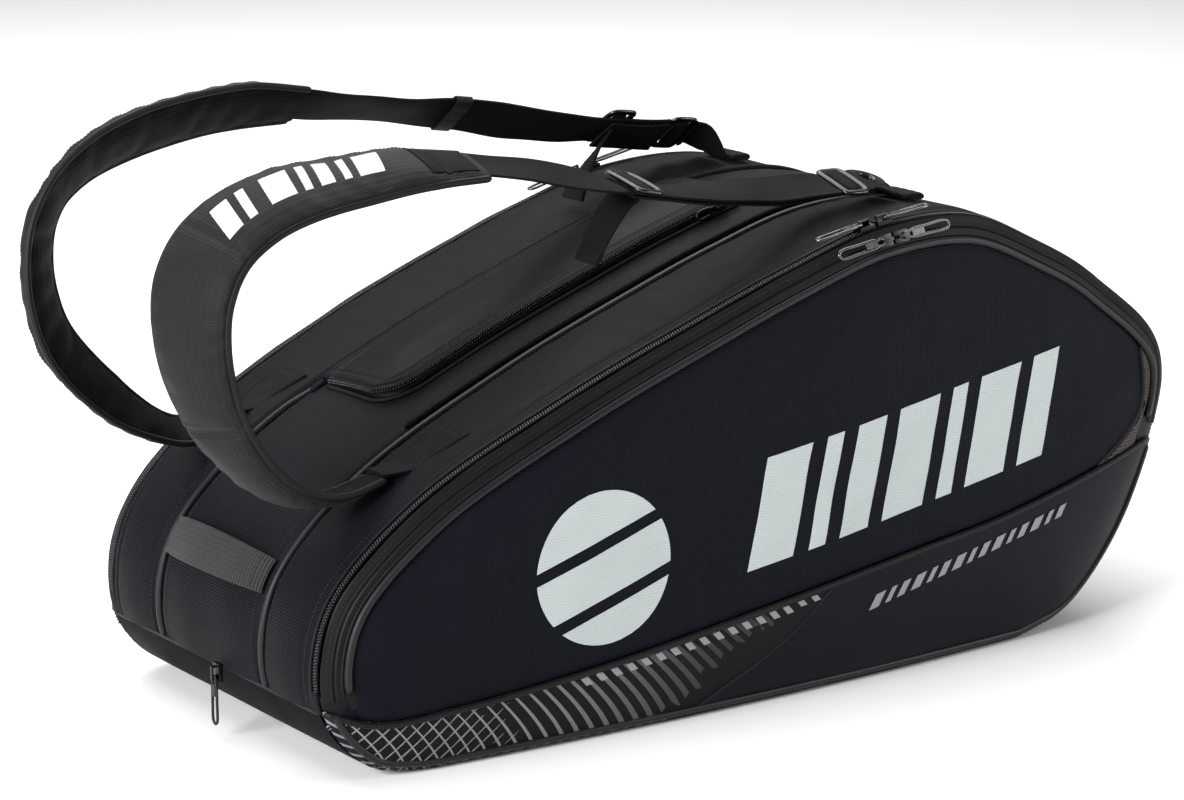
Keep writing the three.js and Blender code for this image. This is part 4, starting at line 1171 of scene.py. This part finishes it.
# ---- grab handle ---------------------------------------------------------------------------------
def build_handle():
    middle = u_where(lambda x, z: z >= HANDLE_Z, 0.01, 0.4)
    half = HANDLE_WIDTH / 2 / outline.length
    y = np.linspace(-HANDLE_REACH, HANDLE_REACH, 120)
    share = np.linspace(-1, 1, 13)
    rise = centre_crown(y) + 0.6 + HANDLE_BOW * (1 - (y / HANDLE_REACH).clip(-1, 1) ** 2) ** 0.8
    curl = -0.7 * share[None] ** 4
    p = on_band(middle + half * share[None], y[:, None], rise[:, None] + 2.2 + curl)
    uv = stacked(y[:, None], share[None] * HANDLE_WIDTH / 2)
    sheet("carry_handle", p, uv, HANDLE, "bag", 2.0, side=-1, replaces=["grab_handle"])
    for sign in (-1, 1):
        for dy in (62.5, 59.5):
            ys = np.full(12, sign * dy)
            us = middle + half * np.linspace(-0.85, 0.85, 12)
            n = np.interp(dy, y[60:], rise[60:]) + 2.3
            bag_stitches.append(run_of(on_band(us, ys, n), band_up(us), 2.8))


# ---- carry straps --------------------------------------------------------------------------------
def strap_frames(points, sign, tilt, count):
    track = Track([(x, sign * y, z) for x, y, z in points])
    t = np.linspace(0, 1, count)
    p, along = track.at(t), track.along(t, 0.004)
    level = unit(np.array([0, 1, 0]) - along * along[:, 1:2])
    up = np.cross(along, level)
    lean = np.radians(tilt(t))[:, None]
    return {"t": t, "s": t * track.length, "p": p, "along": along,
            "across": level * np.cos(lean) + up * np.sin(lean),
            "out": up * np.cos(lean) - level * np.sin(lean)}


def bend(f):
    """How tightly the route turns, in 1/mm, along the route."""
    return np.linalg.norm(np.gradient(f["along"], axis=0), axis=1) / np.gradient(f["s"])


def place(f, c, h):
    """Points at across position c and outward height h, both arrays (route, ring)."""
    return f["p"][:, None] + f["across"][:, None] * c[..., None] + f["out"][:, None] * h[..., None]


PAD_POWER, PAD_RISE = 0.75, 0.62
PAD_RING, PAD_STEPS = 48, 220
PAD_SEAMS = (0.30, 0.57, 0.93)


def soften(move):
    """Evens out the moves of neighbouring points of a ring grid, so no sharp creases are left."""
    for _ in range(3):
        inner = (move[:-2] + 2 * move[1:-1] + move[2:]) / 4
        move = np.concatenate([move[:1], inner, move[-1:]])
        move = (np.roll(move, 1, 1) + 2 * move + np.roll(move, -1, 1)) / 4
    return move


LAST_FRAME = 16


def inflate(obj, held, limit, pressure, slack):
    """Puff a padded piece with a cloth simulation, its seams held, and keep the result in its mesh."""
    pinned = np.flatnonzero(held)
    scene, mesh = bpy.context.scene, obj.data
    rest = read_points(mesh)
    seams = obj.vertex_groups.new(name="seams")
    seams.add(pinned.tolist(), 1.0, "REPLACE")
    cloth = obj.modifiers.new("puff", "CLOTH")
    settings = cloth.settings
    settings.quality = 4
    settings.mass = 0.2
    settings.vertex_group_mass = "seams"
    settings.use_pressure = True
    settings.uniform_pressure_force = pressure
    settings.shrink_min = -slack
    settings.bending_stiffness = 0.3
    settings.effector_weights.gravity = 0
    cloth.collision_settings.use_collision = False
    cloth.point_cache.frame_start, cloth.point_cache.frame_end = 1, LAST_FRAME
    for number in range(1, LAST_FRAME + 1):
        scene.frame_set(number)
    puffed = read_points(obj.evaluated_get(bpy.context.evaluated_depsgraph_get()).data)
    obj.modifiers.remove(cloth)
    obj.vertex_groups.remove(seams)
    scene.frame_set(1)
    move = soften((puffed - rest).reshape(*held.shape, 3))
    move = (move * ~held[..., None]).reshape(-1, 3)
    reach = np.linalg.norm(move, axis=1, keepdims=True)
    move *= np.minimum(1, limit * MM / np.maximum(reach, 1e-9))
    mesh.vertices.foreach_set("co", (rest + move).ravel())
    mesh.update()


def read_points(mesh):
    flat = np.empty(len(mesh.vertices) * 3)
    mesh.vertices.foreach_get("co", flat)
    return flat.reshape(-1, 3)


def pad_point(pad, t, share, lift):
    """Point on a pad's outer face: route fraction, -1..1 across and height above the cloth."""
    t, share = np.broadcast_arrays(t, share)
    f, grid = pad["frames"], pad["grid"]
    i = np.clip(t, 0, 0.99999) * (len(grid) - 1)
    j = np.interp(share, pad["share"][::-1], np.arange(len(pad["share"]))[::-1])
    i0, j0 = i.astype(int), np.minimum(j.astype(int), len(pad["share"]) - 2)
    fi, fj = (i - i0)[..., None], (j - j0)[..., None]
    p = (grid[i0, j0] * (1 - fi) + grid[i0 + 1, j0] * fi) * (1 - fj) \
        + (grid[i0, j0 + 1] * (1 - fi) + grid[i0 + 1, j0 + 1] * fi) * fj
    out = sample(f["out"], f["t"], t)
    c = share * np.interp(t, f["t"], pad["width"]) / 2
    return p + out * lift, out, np.interp(t, f["t"], f["s"]), c


def build_pad(name, points, sign, lean, seed):
    body = f"{name}_strap"
    f = strap_frames(points, sign, lambda t: lean * np.minimum(1, 0.4 + t * 3), PAD_STEPS)
    width = np.interp(f["t"], *zip(*PAD_WIDTHS)) - 3.4 - 6 * np.clip(1 - f["t"] / 0.16, 0, 1)
    ends = np.minimum(1, np.minimum(f["t"], 1 - f["t"]) * 8)
    thick = 3 + (PAD_THICK - 3) * ends
    a = np.linspace(0, TAU, PAD_RING, endpoint=False)
    c = squarish(np.cos(a), PAD_POWER)
    rise = squarish(np.sin(a), PAD_RISE)
    outer = rise > 0
    s, cc = f["s"][:, None], (c[None] * width[:, None] / 2)
    h = np.where(outer[None], rise[None] * thick[:, None] + 0.4, rise[None] * MESH_THICK)
    h = h + np.where(outer[None], 0.55 * ripple(s, cc * 1.5, seed, 42), 0.25 * ripple(s, cc, seed + 2, 30))
    edge = np.clip(np.abs(c), 0, 1)[None] ** 6
    h = h + np.where(outer[None], 0.30, 0.15) * np.sin(s / 2.9 + np.sin(s / 17)) * edge * (1 - edge) * 4
    fold_in = np.clip(bend(f)[:, None] * 90, 0, 1) * 0.5
    h = h - np.where(outer[None], 0.0, 1.0) * fold_in * np.sin(s / 3.6) * (1 - edge)
    for at in PAD_SEAMS:
        h = h - np.where(outer[None], 2.0, 0.5) * bump(f["t"][:, None], at, 0.0045) * (1 - edge * 0.5)
    rings = place(f, np.broadcast_to(cc, h.shape), h)
    index = (~outer).astype(int)
    around = np.concatenate([cc.max(0), cc.max(0)[:1]])
    piece = loft(f"{name}_shoulder_pad", rings, (np.append(f["s"], f["s"][-1]), around), [PAD_CLOTH, MESH],
                 body, index=index, replaces=[f"{name}_strap_pad", f"{name}_strap_mesh"],
                 sharp=70)
    rim = np.abs(c) > 0.97
    seam = np.zeros(len(f["t"]), bool)
    seam[:4] = seam[-4:] = True
    for at in PAD_SEAMS:
        seam |= np.abs(f["t"] - at) < 0.004
    held = seam[:, None] | rim[None]
    inflate(piece, held, 2.4, 5.0, 0.012)
    rings = read_points(piece.data).reshape(rings.shape) / MM
    pad = {"frames": f, "width": width, "grid": rings, "share": c[:PAD_RING // 2 + 1]}
    runs = []
    for side in (-1, 1):
        edge_path = place(f, side * (width / 2 + 0.3)[:, None], np.full((PAD_STEPS, 1), 0.1))[:, 0]
        hand = "left" if side < 0 else "right"
        tube(f"{name}_pad_binding_{hand}", edge_path, f["out"], 2.3, BINDING, body, sides=10, flat=1.15,
             taper=4)
        path, out = pad_point(pad, f["t"][6:-6], side * (1 - 9.0 / width[6:-6]), 0.1)[:2]
        runs.append(run_of(path, out, STITCH_PITCH))
    for at in PAD_SEAMS:
        for shift in (-0.011, 0.011):
            path, out = pad_point(pad, at + shift, np.linspace(-0.86, 0.86, 26), 0.15)[:2]
            runs.append(run_of(path, out, STITCH_PITCH))
    bead_object(f"{name}_pad_stitching", runs, (2.2, 0.6, 0.55), THREAD, body)
    t = np.linspace(0.90, 0.985, 26)[:, None]
    p, out, s, c = pad_point(pad, t, np.linspace(-0.72, 0.72, 14)[None], 0.9)
    sheet(f"{name}_pad_patch", p, np.stack([s, c], -1), BELT, body, 1.3, side=1)
    return pad


def build_root_tab(name, sign):
    """Cloth tongue that sews the foot of a strap to the bag, boxed with stitches."""
    head = np.array([(-316, 110, 203), (-304, 110, 204), (-290, 110, 205.5)])
    x, z, nx, nz = station(top_u(np.array([-276.0, -262.0, -250.0])))
    flat = np.stack([x + nx * 2.4, np.full(3, 110.0), z + nz * 2.4], -1)
    f = strap_frames(np.concatenate([head, flat]), sign, lambda t: 0 * t, 40)
    belt_piece(f"{name}_root_tab", f, np.linspace(22, 42, 40), "bag", thick=2.4, curl=-1.1, wave=0.3)
    for share in (-0.85, 0.85):
        line = f["p"][14:37] + f["across"][14:37] * np.linspace(15.5, 20, 23)[:, None] * share \
            + f["out"][14:37] * 1.5
        bag_stitches.append(run_of(line, f["out"][14:37], 3.0))
    for k in (14, 36):
        line = f["p"][k] + f["across"][k] * np.linspace(-13, 13, 20)[:, None] + f["out"][k] * 1.5
        bag_stitches.append(run_of(line, f["out"][k], 3.0))


def belt_piece(name, f, width, body, thick=1.8, curl=0.5, seed=0, replaces=(), wave=0.0):
    """Flat woven belt along frames, its edges a little curled."""
    count = len(f["t"])
    share = np.linspace(-1, 1, 11)
    c = np.broadcast_to(share[None] * np.broadcast_to(width, (count,))[:, None] / 2, (count, 11))
    h = thick / 2 + curl * (share[None] ** 4 - 0.3) * np.cos(f["s"][:, None] / 60 + seed)
    h = h + wave * ripple(f["s"][:, None], c, seed + 3, 55) + np.zeros((count, 11))
    p = place(f, c, h)
    uv = stacked(f["s"][:, None], c)
    sheet(name, p, uv, BELT, body, thick, side=1, replaces=replaces)


def rounded_frame(name, f, k, length, width, body, lift, node, roll, shift=0.0):
    """Cast buckle frame lying on the belt: a rounded ring and a middle bar."""
    p, along, across, out = (f[key][k] for key in ("p", "along", "across", "out"))
    p = p + along * shift + out * lift
    a = np.linspace(0, TAU, 72, endpoint=False)
    power = 0.32
    x = squarish(np.cos(a), power) * (length / 2 - 2.2)
    y = squarish(np.sin(a), power) * (width / 2 - 2.2)
    path = p + along * x[:, None] + across * y[:, None] + out * (0.8 * np.cos(y / width * 3)[:, None])
    path = even_closed(path, 90)
    tube(name, path, out, 2.9, METAL, body, sides=14, flat=0.62, closed_path=True,
         replaces=[node])
    bar_path = p + across * np.linspace(-width / 2 + 2, width / 2 - 2, 20)[:, None]
    tube(f"{name}_bar", bar_path, out, 1.5, METAL, body, sides=10)
    loop_width = min(WEBBING, width - 8)
    t = np.linspace(0, TAU, 40, endpoint=False)
    n = 16
    rows = np.linspace(-loop_width / 2, loop_width / 2, n)
    squash = 1 - 0.35 * np.abs(np.linspace(-1, 1, n)) ** 6
    ring = (along * (np.cos(t) * roll[0])[:, None] + out * (np.sin(t) * roll[1])[:, None])
    rings = p + across * rows[:, None, None] + ring[None] * squash[:, None, None]
    uvs = (np.append(rows, rows[-1]), np.linspace(0, 30, 41))
    loft(f"{name}_webbing_loop", rings, uvs, BELT, body, sharp=60)


def even_closed(path, count):
    looped = np.vstack([path, path[:1]])
    s = arc_lengths(looped)
    return sample(looped, s, np.linspace(0, s[-1], count, endpoint=False))


BELT_TUCK = np.array([14.0, 9.0, 4.0])  # how far the belt's first rows reach back into the pad
TAIL_BUCKLE_AHEAD = 14                  # from the end of the belt to the middle of its end buckle


def tucked(f):
    """The belt's route with a start that runs back inside the end of the pad."""
    lead = {key: np.concatenate([np.repeat(v[:1], len(BELT_TUCK), 0), v]) for key, v in f.items()}
    lead["p"][:len(BELT_TUCK)] -= f["along"][:1] * BELT_TUCK[:, None]
    lead["s"][:len(BELT_TUCK)] -= BELT_TUCK
    return lead


def build_strap(name, sign, pad_points, belt_points, lean, adjuster_step, seed):
    body = f"{name}_strap"
    pad = build_pad(name, pad_points, sign, lean, seed)
    build_root_tab(name, sign)
    twist = lambda t: lean + 9 * np.sin(t * 8.2 + 0.4) * np.sin(math.pi * t)
    belt = strap_frames(belt_points, sign, twist, 141)
    belt_piece(f"{name}_belt", tucked(belt), WEBBING, body, seed=seed, replaces=[f"{name}_strap_webbing"],
               wave=1.1)
    k = adjuster_step * 10
    rounded_frame(f"{name}_slide_buckle", belt, k, 26, 48, f"{name}_adjuster_body", 3.8,
                  f"{name}_adjuster", (6.5, 2.6))
    rounded_frame(f"{name}_tail_buckle", belt, -1, 25, 42, body, 0.3, f"{name}_end_buckle",
                  (6.5, 3.4), shift=TAIL_BUCKLE_AHEAD)
    under = {key: v[k - 4:] for key, v in belt.items()}
    drop_below = 2.6 + 1.2 * np.sin(np.linspace(0, math.pi, len(under["t"])))
    under["p"] = under["p"] - under["out"] * drop_below[:, None] + under["across"] * 1.8
    belt_piece(f"{name}_belt_return", under, WEBBING, body, seed=seed + 5, wave=0.9)
    tail_start = belt["p"][k] - belt["out"][k] * 5 - belt["along"][k] * 4
    drop = [(0, 0), (-8, -6), (-22, -24), (-35, -46)]
    tail = strap_frames([(tail_start[0] + dx, sign * tail_start[1], tail_start[2] + dz) for dx, dz in drop],
                        sign, lambda t: -lean * (1 - t), 50)
    belt_piece(f"{name}_tail", tail, WEBBING - 10, body, seed=seed + 1, replaces=[f"{name}_strap_tail"],
               wave=0.3)
    hem = {key: v[-9:] for key, v in tail.items()}
    belt_piece(f"{name}_tail_hem", hem, WEBBING - 9.4, body, thick=3.2, seed=seed + 1)
    start = belt["p"][-1] + belt["along"][-1] * (TAIL_BUCKLE_AHEAD + 13.5)
    ahead = start + belt["along"][-1] * 7
    route = [(q[0], sign * q[1], q[2]) for q in (start, ahead)]
    route.append((ANCHOR[0], ANCHOR[1], ANCHOR[2] + 1.5))
    link = strap_frames(route, sign, lambda t: lean * (1 - t), 30)
    belt_piece(f"{name}_anchor_belt", link, WEBBING - 2, body, seed=seed + 2,
               replaces=[f"{name}_anchor_webbing"])
    return pad


def build_anchor_roll(name, sign):
    """Padded roll of cloth that holds the strap down at the head end."""
    x, z, nx, nz = (float(v) for v in station(top_u(ANCHOR[0] + 14)))
    out = np.array([nx, 0, nz])
    along = np.array([nz, 0, -nx])
    across = np.array([0.0, 1.0, 0.0])
    rows = np.linspace(-1, 1, 30)
    a = np.linspace(0, TAU, 28, endpoint=False)
    centre = np.array([x, sign * ANCHOR[1], z]) + out * 6.6
    swell = 1 - 0.25 * np.abs(rows) ** 5 + 0.03 * np.sin(rows * 14)
    ring = along * (squarish(np.cos(a), 0.7) * 11)[:, None] \
        + out * (squarish(np.sin(a), 0.8) * 3.2)[:, None]
    rings = centre + across * (rows * 20)[:, None, None] + ring[None] * swell[:, None, None]
    uvs = (np.append(rows, 1.0) * 20, np.linspace(0, 40, 29))
    loft(f"{name}_anchor_roll", rings, uvs, BELT, "bag", replaces=[f"{name}_strap_anchor"],
         sharp=70)


def build_keeper():
    f = strap_frames(FAR_BELT, 1, lambda t: np.full_like(t, FAR_TILT), 201)
    k = 80
    p, along, across, out = (f[key][k] for key in ("p", "along", "across", "out"))
    a = np.linspace(0, TAU, 48, endpoint=False)
    y = squarish(np.cos(a), 0.35) * (WEBBING / 2 + 1.9)
    h = squarish(np.sin(a), 0.5) * 2.9
    rows = np.linspace(-7, 7, 12)
    loop = p + across * y[:, None] + out * h[:, None]
    outer = loop[:, None] + along * rows[None, :, None]
    outer = np.vstack([outer, outer[:1]])
    s = np.linspace(0, 90, 49)
    uv = stacked(rows[None], s[:, None])
    sheet("strap_keeper_loop", outer, uv, BINDING, "back_strap", 1.1, side=-1,
          replaces=["back_strap_keeper"])


# ---- hardware from the CAD nodes, with cast edges ------------------------------------------------
CAST_EDGE = 0.5


def cast_slider(node):
    """A copy of a slider's CAD node with rounded edges, in cast metal."""
    source = frame["nodes"][node]
    mesh = source.data.copy()
    mesh.transform(source.matrix_world)
    obj = bpy.data.objects.new(f"{node}_cast", mesh)
    bpy.context.scene.collection.objects.link(obj)
    bm = bmesh.new()
    bm.from_mesh(mesh)
    bmesh.ops.remove_doubles(bm, verts=bm.verts, dist=1e-5)
    bmesh.ops.dissolve_limit(bm, angle_limit=math.radians(2), verts=bm.verts, edges=bm.edges)
    sharp = [e for e in bm.edges if len(e.link_faces) == 2 and e.calc_face_angle(0) > math.radians(38)]
    bmesh.ops.bevel(bm, geom=sharp, offset=CAST_EDGE * MM, segments=3, profile=0.6, affect="EDGES",
                    clamp_overlap=True)
    bm.to_mesh(mesh)
    bm.free()
    mesh.polygons.foreach_set("use_smooth", np.ones(len(mesh.polygons), bool))
    mesh.materials.clear()
    mesh.materials.append(BLACK_METAL)
    mesh.set_sharp_from_angle(angle=math.radians(40))
    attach(obj, f"{node}_body")
    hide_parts(node)


LONG_PULL, PULL_LENGTHS = 42, {"flap": 20, "end": 36}


def build_pulls():
    """A pull on every pull hinge of the frame, pointing the way its slider moves, or down at the end."""
    joints = {joint["name"]: joint for joint in frame["joints"]}
    for name in (key.removesuffix("_pull_hinge") for key in joints if key.endswith("_pull_hinge")):
        hinge = joints[f"{name}_pull_hinge"]
        back = (0, 0, -1) if name == "end" else joints[f"{name}_slider_slide"]["axis"]
        build_pull(name, np.array(hinge["pos_m"]) / MM, np.array(back), np.array(hinge["axis"]),
                   PULL_LENGTHS.get(name, LONG_PULL))


def build_pull(name, pivot, x, y, length):
    """Slim slotted pull: an eye at its pivot, a neck and a long loop with a web down its middle.

    x runs along it from the pivot and y across it.
    """
    up = unit(np.cross(-x, y))
    d = np.array([0.4, 2.2, 5, 8, length * 0.55, length - 5, length - 1.6])
    half = np.array([1.5, 1.9, 2.1, 2.9, 3.1, 3.3, 2.4])
    side_a = pivot + x * d[:, None] + y * half[:, None]
    side_b = pivot + x * d[::-1, None] - y * half[::-1, None]
    tip = pivot + x * (length - 0.2)
    loop = even_closed(catmull(np.concatenate([side_a, tip[None], side_b]), 8), 110)
    body = f"{name}_pull_body"
    mat = BLACK_METAL if name in ("end", "flap") else SILVER
    tube(f"{name}_pull_loop", loop, up, 1.15, mat, body, sides=10, flat=0.9,
         closed_path=True, replaces=[f"{name}_pull"])
    rows = np.linspace(6.4, length * 0.42, 8)
    p = pivot + x * rows[:, None, None] + y * np.linspace(-2.4, 2.4, 6)[None, :, None] + up * 0.35
    uv = stacked(rows[:, None], np.linspace(-2.4, 2.4, 6)[None])
    sheet(f"{name}_pull_web", p, uv, mat, body, 0.8, side=1)


def build_connector():
    """Glossy oval tab with a raised ring round its eye, tipped toward the front."""
    tip = math.radians(20)
    across = np.array([0, -math.cos(tip), -math.sin(tip)])
    along = np.array([0.985, 0.0, -0.17])
    out = unit(np.cross(across, along))
    out = out if out[2] > 0 else -out
    centre = np.array([151, -67.0, 354.6])
    a = np.linspace(0, TAU, 72, endpoint=False)
    profile = [(0.36, 0.0), (0.36, 1.9), (0.41, 2.6), (0.50, 2.9), (0.58, 2.4), (0.64, 1.8), (0.80, 2.0),
               (0.93, 1.6), (1.0, 0.4), (0.985, -1.2), (0.93, -1.8), (0.6, -1.8), (0.38, -1.6)]
    size = np.array([k for k, _ in profile])
    h = np.array([v for _, v in profile])
    oval = along * (np.cos(a) * 20)[:, None] + across * (np.sin(a) * 13.8)[:, None]
    rings = centre + oval[:, None] * size[None, :, None] + out * h[None, :, None]
    uvs = (np.linspace(0, 100, 73), np.linspace(0, 30, len(profile) + 1))
    loft("front_eye_tab", rings, uvs, PLASTIC, "bag", closed_path=True, replaces=["front_eye_connector"],
         sharp=70)
    link = strap_frames([centre + along * 15 + np.array([0, 0, -1.0]), centre + along * 24 - out * 5,
                         centre + along * 34 - out * 9], 1, lambda t: 0 * t, 16)
    belt_piece("front_eye_link", link, 15, "bag", thick=1.8)


def build_zip_ends(name, sign):
    """Cloth corners that close the gap past both ends of the side zip."""
    for label, low, high in (("handle", HANDLE_EDGE - 0.004, LID_START + 0.004),
                             ("head", LID_END - 0.004, COATED_HEAD + 0.004)):
        us = np.linspace(low, high, 24)
        x, z = inset(us[:, None], np.linspace(0.8, 24, 16)[None])
        p = on_side(x, z, sign, -1.6)
        sheet(f"{name}_{label}_zip_corner", p, stacked(x, z), TAPE, "bag", 1.2, side=sign)
        reach = (0.004, 0.002) if label == "handle" else (-0.002, -0.004)
        us = np.linspace(low + reach[0], high + reach[1], 20)
        y = half_width(station(us)[0])[:, None] - np.linspace(13.0, 0.4, 12)[None]
        edge = np.linspace(-1, 1, 12)[None] ** 6
        p = on_band(us[:, None], sign * y, 1.0 - 0.8 * edge)
        sheet(f"{name}_{label}_zip_tab", p, band_uv(us[:, None], y), GUSSET, "bag", 1.2, side=sign)


# ---- printed marks -------------------------------------------------------------------------------
def side_mark(name, pieces, sign, body, mat, base=panel_off, lift=0.45):
    """Several printed shapes joined in one object on a side."""
    objs = []
    for k, (grid_x, grid_z) in enumerate(pieces):
        p = on_side(grid_x, grid_z, sign, base(grid_x, grid_z) + lift)
        objs.append(sheet(f"{name}_{k}", p, stacked(grid_x, grid_z), mat, None, 0.35, side=-sign))
    join(objs, name, body)


def slanted_block(x0, x1, low, high, slope, lean=0.22, count=(18, 26), level=0.0):
    """Slanted block between two rising lines, as an (x, z) grid. The heights hold at x = level."""
    s = np.linspace(0, 1, count[0])[:, None]
    t = np.linspace(0, 1, count[1])[None]
    x = x0 + (x1 - x0) * s + lean * (high - low) * t
    z = low + (high - low) * t + slope * (x - level)
    return np.broadcast_arrays(x, z)


MARK_RISE = 0.15                  # how steeply the rows of marks climb towards the head end


def disc_slice(cx, cz, radius, a, b, turn):
    """Part of a disc between two parallel cuts a..b across it."""
    s = np.linspace(a, b, 26)[:, None]
    h = np.sqrt(np.maximum(radius**2 - s**2, 0.01))
    t = np.linspace(-1, 1, 40)[None]
    lx, lz = s + 0 * t, h * t
    co, si = math.cos(turn), math.sin(turn)
    return cx + lx * co - lz * si, cz + lx * si + lz * co


def build_marks(name, sign):
    """Barred disc and slanted bars on the side panel."""
    blocks = []
    x, gap, low, high = -48.0, 14.0, 112, 192
    for width in (40, 15, 27, 40, 15, 40, 27):
        blocks.append(slanted_block(x, x + width, low, high, MARK_RISE))
        x += width + gap
    discs = [disc_slice(-172, 128, 56, a, b, -1.25) for a, b in ((-55.8, -21), (-12, 21), (30, 55.8))]
    side_mark(f"{name}_panel_marks", discs + blocks, sign, f"{name}_lid", SILVER_INK)


def coated_off(x, z):
    return 0.4 * side_waves(x, z, 53) + 1.0


def build_small_marks(name, sign):
    """Thin bars on the coated panel and dashes along the top of the printed band."""
    lines = []
    x, gap, low, high = 66.0, 6.6, 43, 53
    for k in range(15):
        wide = (9.0, 5.0, 7.0)[k % 3]
        lines.append(slanted_block(x, x + wide, low, high - 0.12 * k, 0.20, 0.7, (6, 8)))
        x += wide + gap
    side_mark(f"{name}_panel_lines", lines, sign, "bag", GREY_INK, coated_off, 0.5)
    dashes = []
    for k in range(17):
        x = -186 + k * 12.5
        top = float(-above_fold(x, 0.0)) - 4.8
        tall = 6.4 if k < 15 else 4.6
        dashes.append(slanted_block(x, x + 5.6, top - tall, top, MARK_RISE, -0.8, (6, 5), x))
    side_mark(f"{name}_band_dashes", dashes, sign, "bag", GREY_INK,
              lambda x, z: 0.3 * side_waves(x, z, 51), 0.35)


def join(objs, name, body):
    with bpy.context.temp_override(active_object=objs[0], selected_objects=objs,
                                   selected_editable_objects=objs):
        bpy.ops.object.join()
    objs[0].name = name
    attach(objs[0], body)


def build_pad_marks(pad):
    """Generic bars printed on the near shoulder pad."""
    objs = []
    spans = ((0.585, 0.612), (0.624, 0.637), (0.66, 0.70), (0.713, 0.725), (0.738, 0.760), (0.775, 0.787),
             (0.80, 0.84))
    for k, (s0, s1) in enumerate(spans):
        share = np.linspace(-0.42, 0.48, 14)[None]
        t = np.linspace(s0, s1, 12)[:, None] + share * 0.02
        p, _, s, c = pad_point(pad, t, share, 0.42)
        objs.append(sheet(f"pad_mark_{k}", p, np.stack([s, c], -1), SILVER_INK, None, 0.35, side=1))
    join(objs, "front_pad_marks", "front_strap")


# ---- put together --------------------------------------------------------------------------------
build_centre_band()
for name, sign in (("front", -1), ("back", 1)):
    build_side_band(name, sign)
    build_seams(name, sign)
    band_stitches(sign)
    build_zip(name, sign)
    build_panel(name, sign)
    build_edge_strip(name, sign)
    build_piping(name, sign)
    build_lower_side(name, sign)
    build_zip_ends(name, sign)
    build_marks(name, sign)
    build_small_marks(name, sign)
    build_anchor_roll(name, sign)
build_insert()
build_inside()
build_tray()
build_flap()
build_flap_zip()
build_handle()
near_pad = build_strap("front", -1, NEAR_PAD, NEAR_BELT, NEAR_TILT, 6, 101)
build_strap("back", 1, FAR_PAD, FAR_BELT, FAR_TILT, 12, 131)
build_keeper()
bead_object("bag_stitching", bag_stitches, (2.3, 0.6, 0.55), THREAD, "bag")
build_pad_marks(near_pad)
build_pulls()
for node in frame["nodes"]:
    if node.endswith("_slider"):
        cast_slider(node)
build_connector()
board = frame["nodes"]["base_board"]
board.data.materials[0] = BOARD


# ---- floor, light and camera ---------------------------------------------------------------------
def stage():
    size = 9.0
    mesh = bpy.data.meshes.new("floor")
    corners = [(-size, -size, 0), (size, -size, 0), (size, size, 0), (-size, size, 0)]
    mesh.from_pydata(corners, [], [(0, 1, 2, 3)])
    look = Look("floor", (0.86, 0.86, 0.86), 0.75, specular=0.1)
    look.plug(look.shade(look.noise(2.0, 2.0), 0.01), "Base Color")
    mesh.materials.append(look.mat)
    floor = bpy.data.objects.new("floor", mesh)
    bpy.context.scene.collection.objects.link(floor)


def area_light(name, at, target, size, power):
    light = bpy.data.lights.new(name, "AREA")
    light.shape = "RECTANGLE"
    light.size, light.size_y = size
    light.energy = power
    obj = bpy.data.objects.new(name, light)
    bpy.context.scene.collection.objects.link(obj)
    obj.location = at
    obj.rotation_euler = (Vector(target) - Vector(at)).to_track_quat("-Z", "Y").to_euler()


def studio():
    bpy.context.scene.view_settings.view_transform = "Standard"
    world = bpy.data.worlds.new("studio")
    bpy.context.scene.world = world
    world.use_nodes = True
    background = world.node_tree.nodes["Background"]
    background.inputs["Color"].default_value = (1, 1, 1, 1)
    background.inputs["Strength"].default_value = 0.23
    area_light("overhead", (0.2, 1.6, 3.4), (0, 0.3, 0.1), (5.0, 4.0), 238)
    area_light("front_left", (-3.0, -0.7, 1.3), (-0.2, 0, 0.25), (1.4, 1.2), 165)
    area_light("front_right", (1.7, -1.5, 0.9), (0.2, 0, 0.2), (0.7, 1.2), 22)


AZIMUTH, ELEVATION = math.radians(35.13), math.radians(13.52)
CAMERA_AT, FOCAL_LENGTH = (-1.588, -2.179, 0.8377), 110.4


def camera():
    data = bpy.data.cameras.new("camera")
    data.lens = FOCAL_LENGTH
    data.sensor_width = 36
    data.clip_end = 30
    obj = bpy.data.objects.new("camera", data)
    bpy.context.scene.collection.objects.link(obj)
    right = Vector((math.cos(AZIMUTH), -math.sin(AZIMUTH), 0))
    forward = Vector((math.sin(AZIMUTH) * math.cos(ELEVATION), math.cos(AZIMUTH) * math.cos(ELEVATION),
                      -math.sin(ELEVATION)))
    up = right.cross(forward)
    turn = Matrix((right, up, -forward)).transposed().to_4x4()
    obj.matrix_world = Matrix.Translation(CAMERA_AT) @ turn
    bpy.context.scene.camera = obj


stage()
studio()
camera()
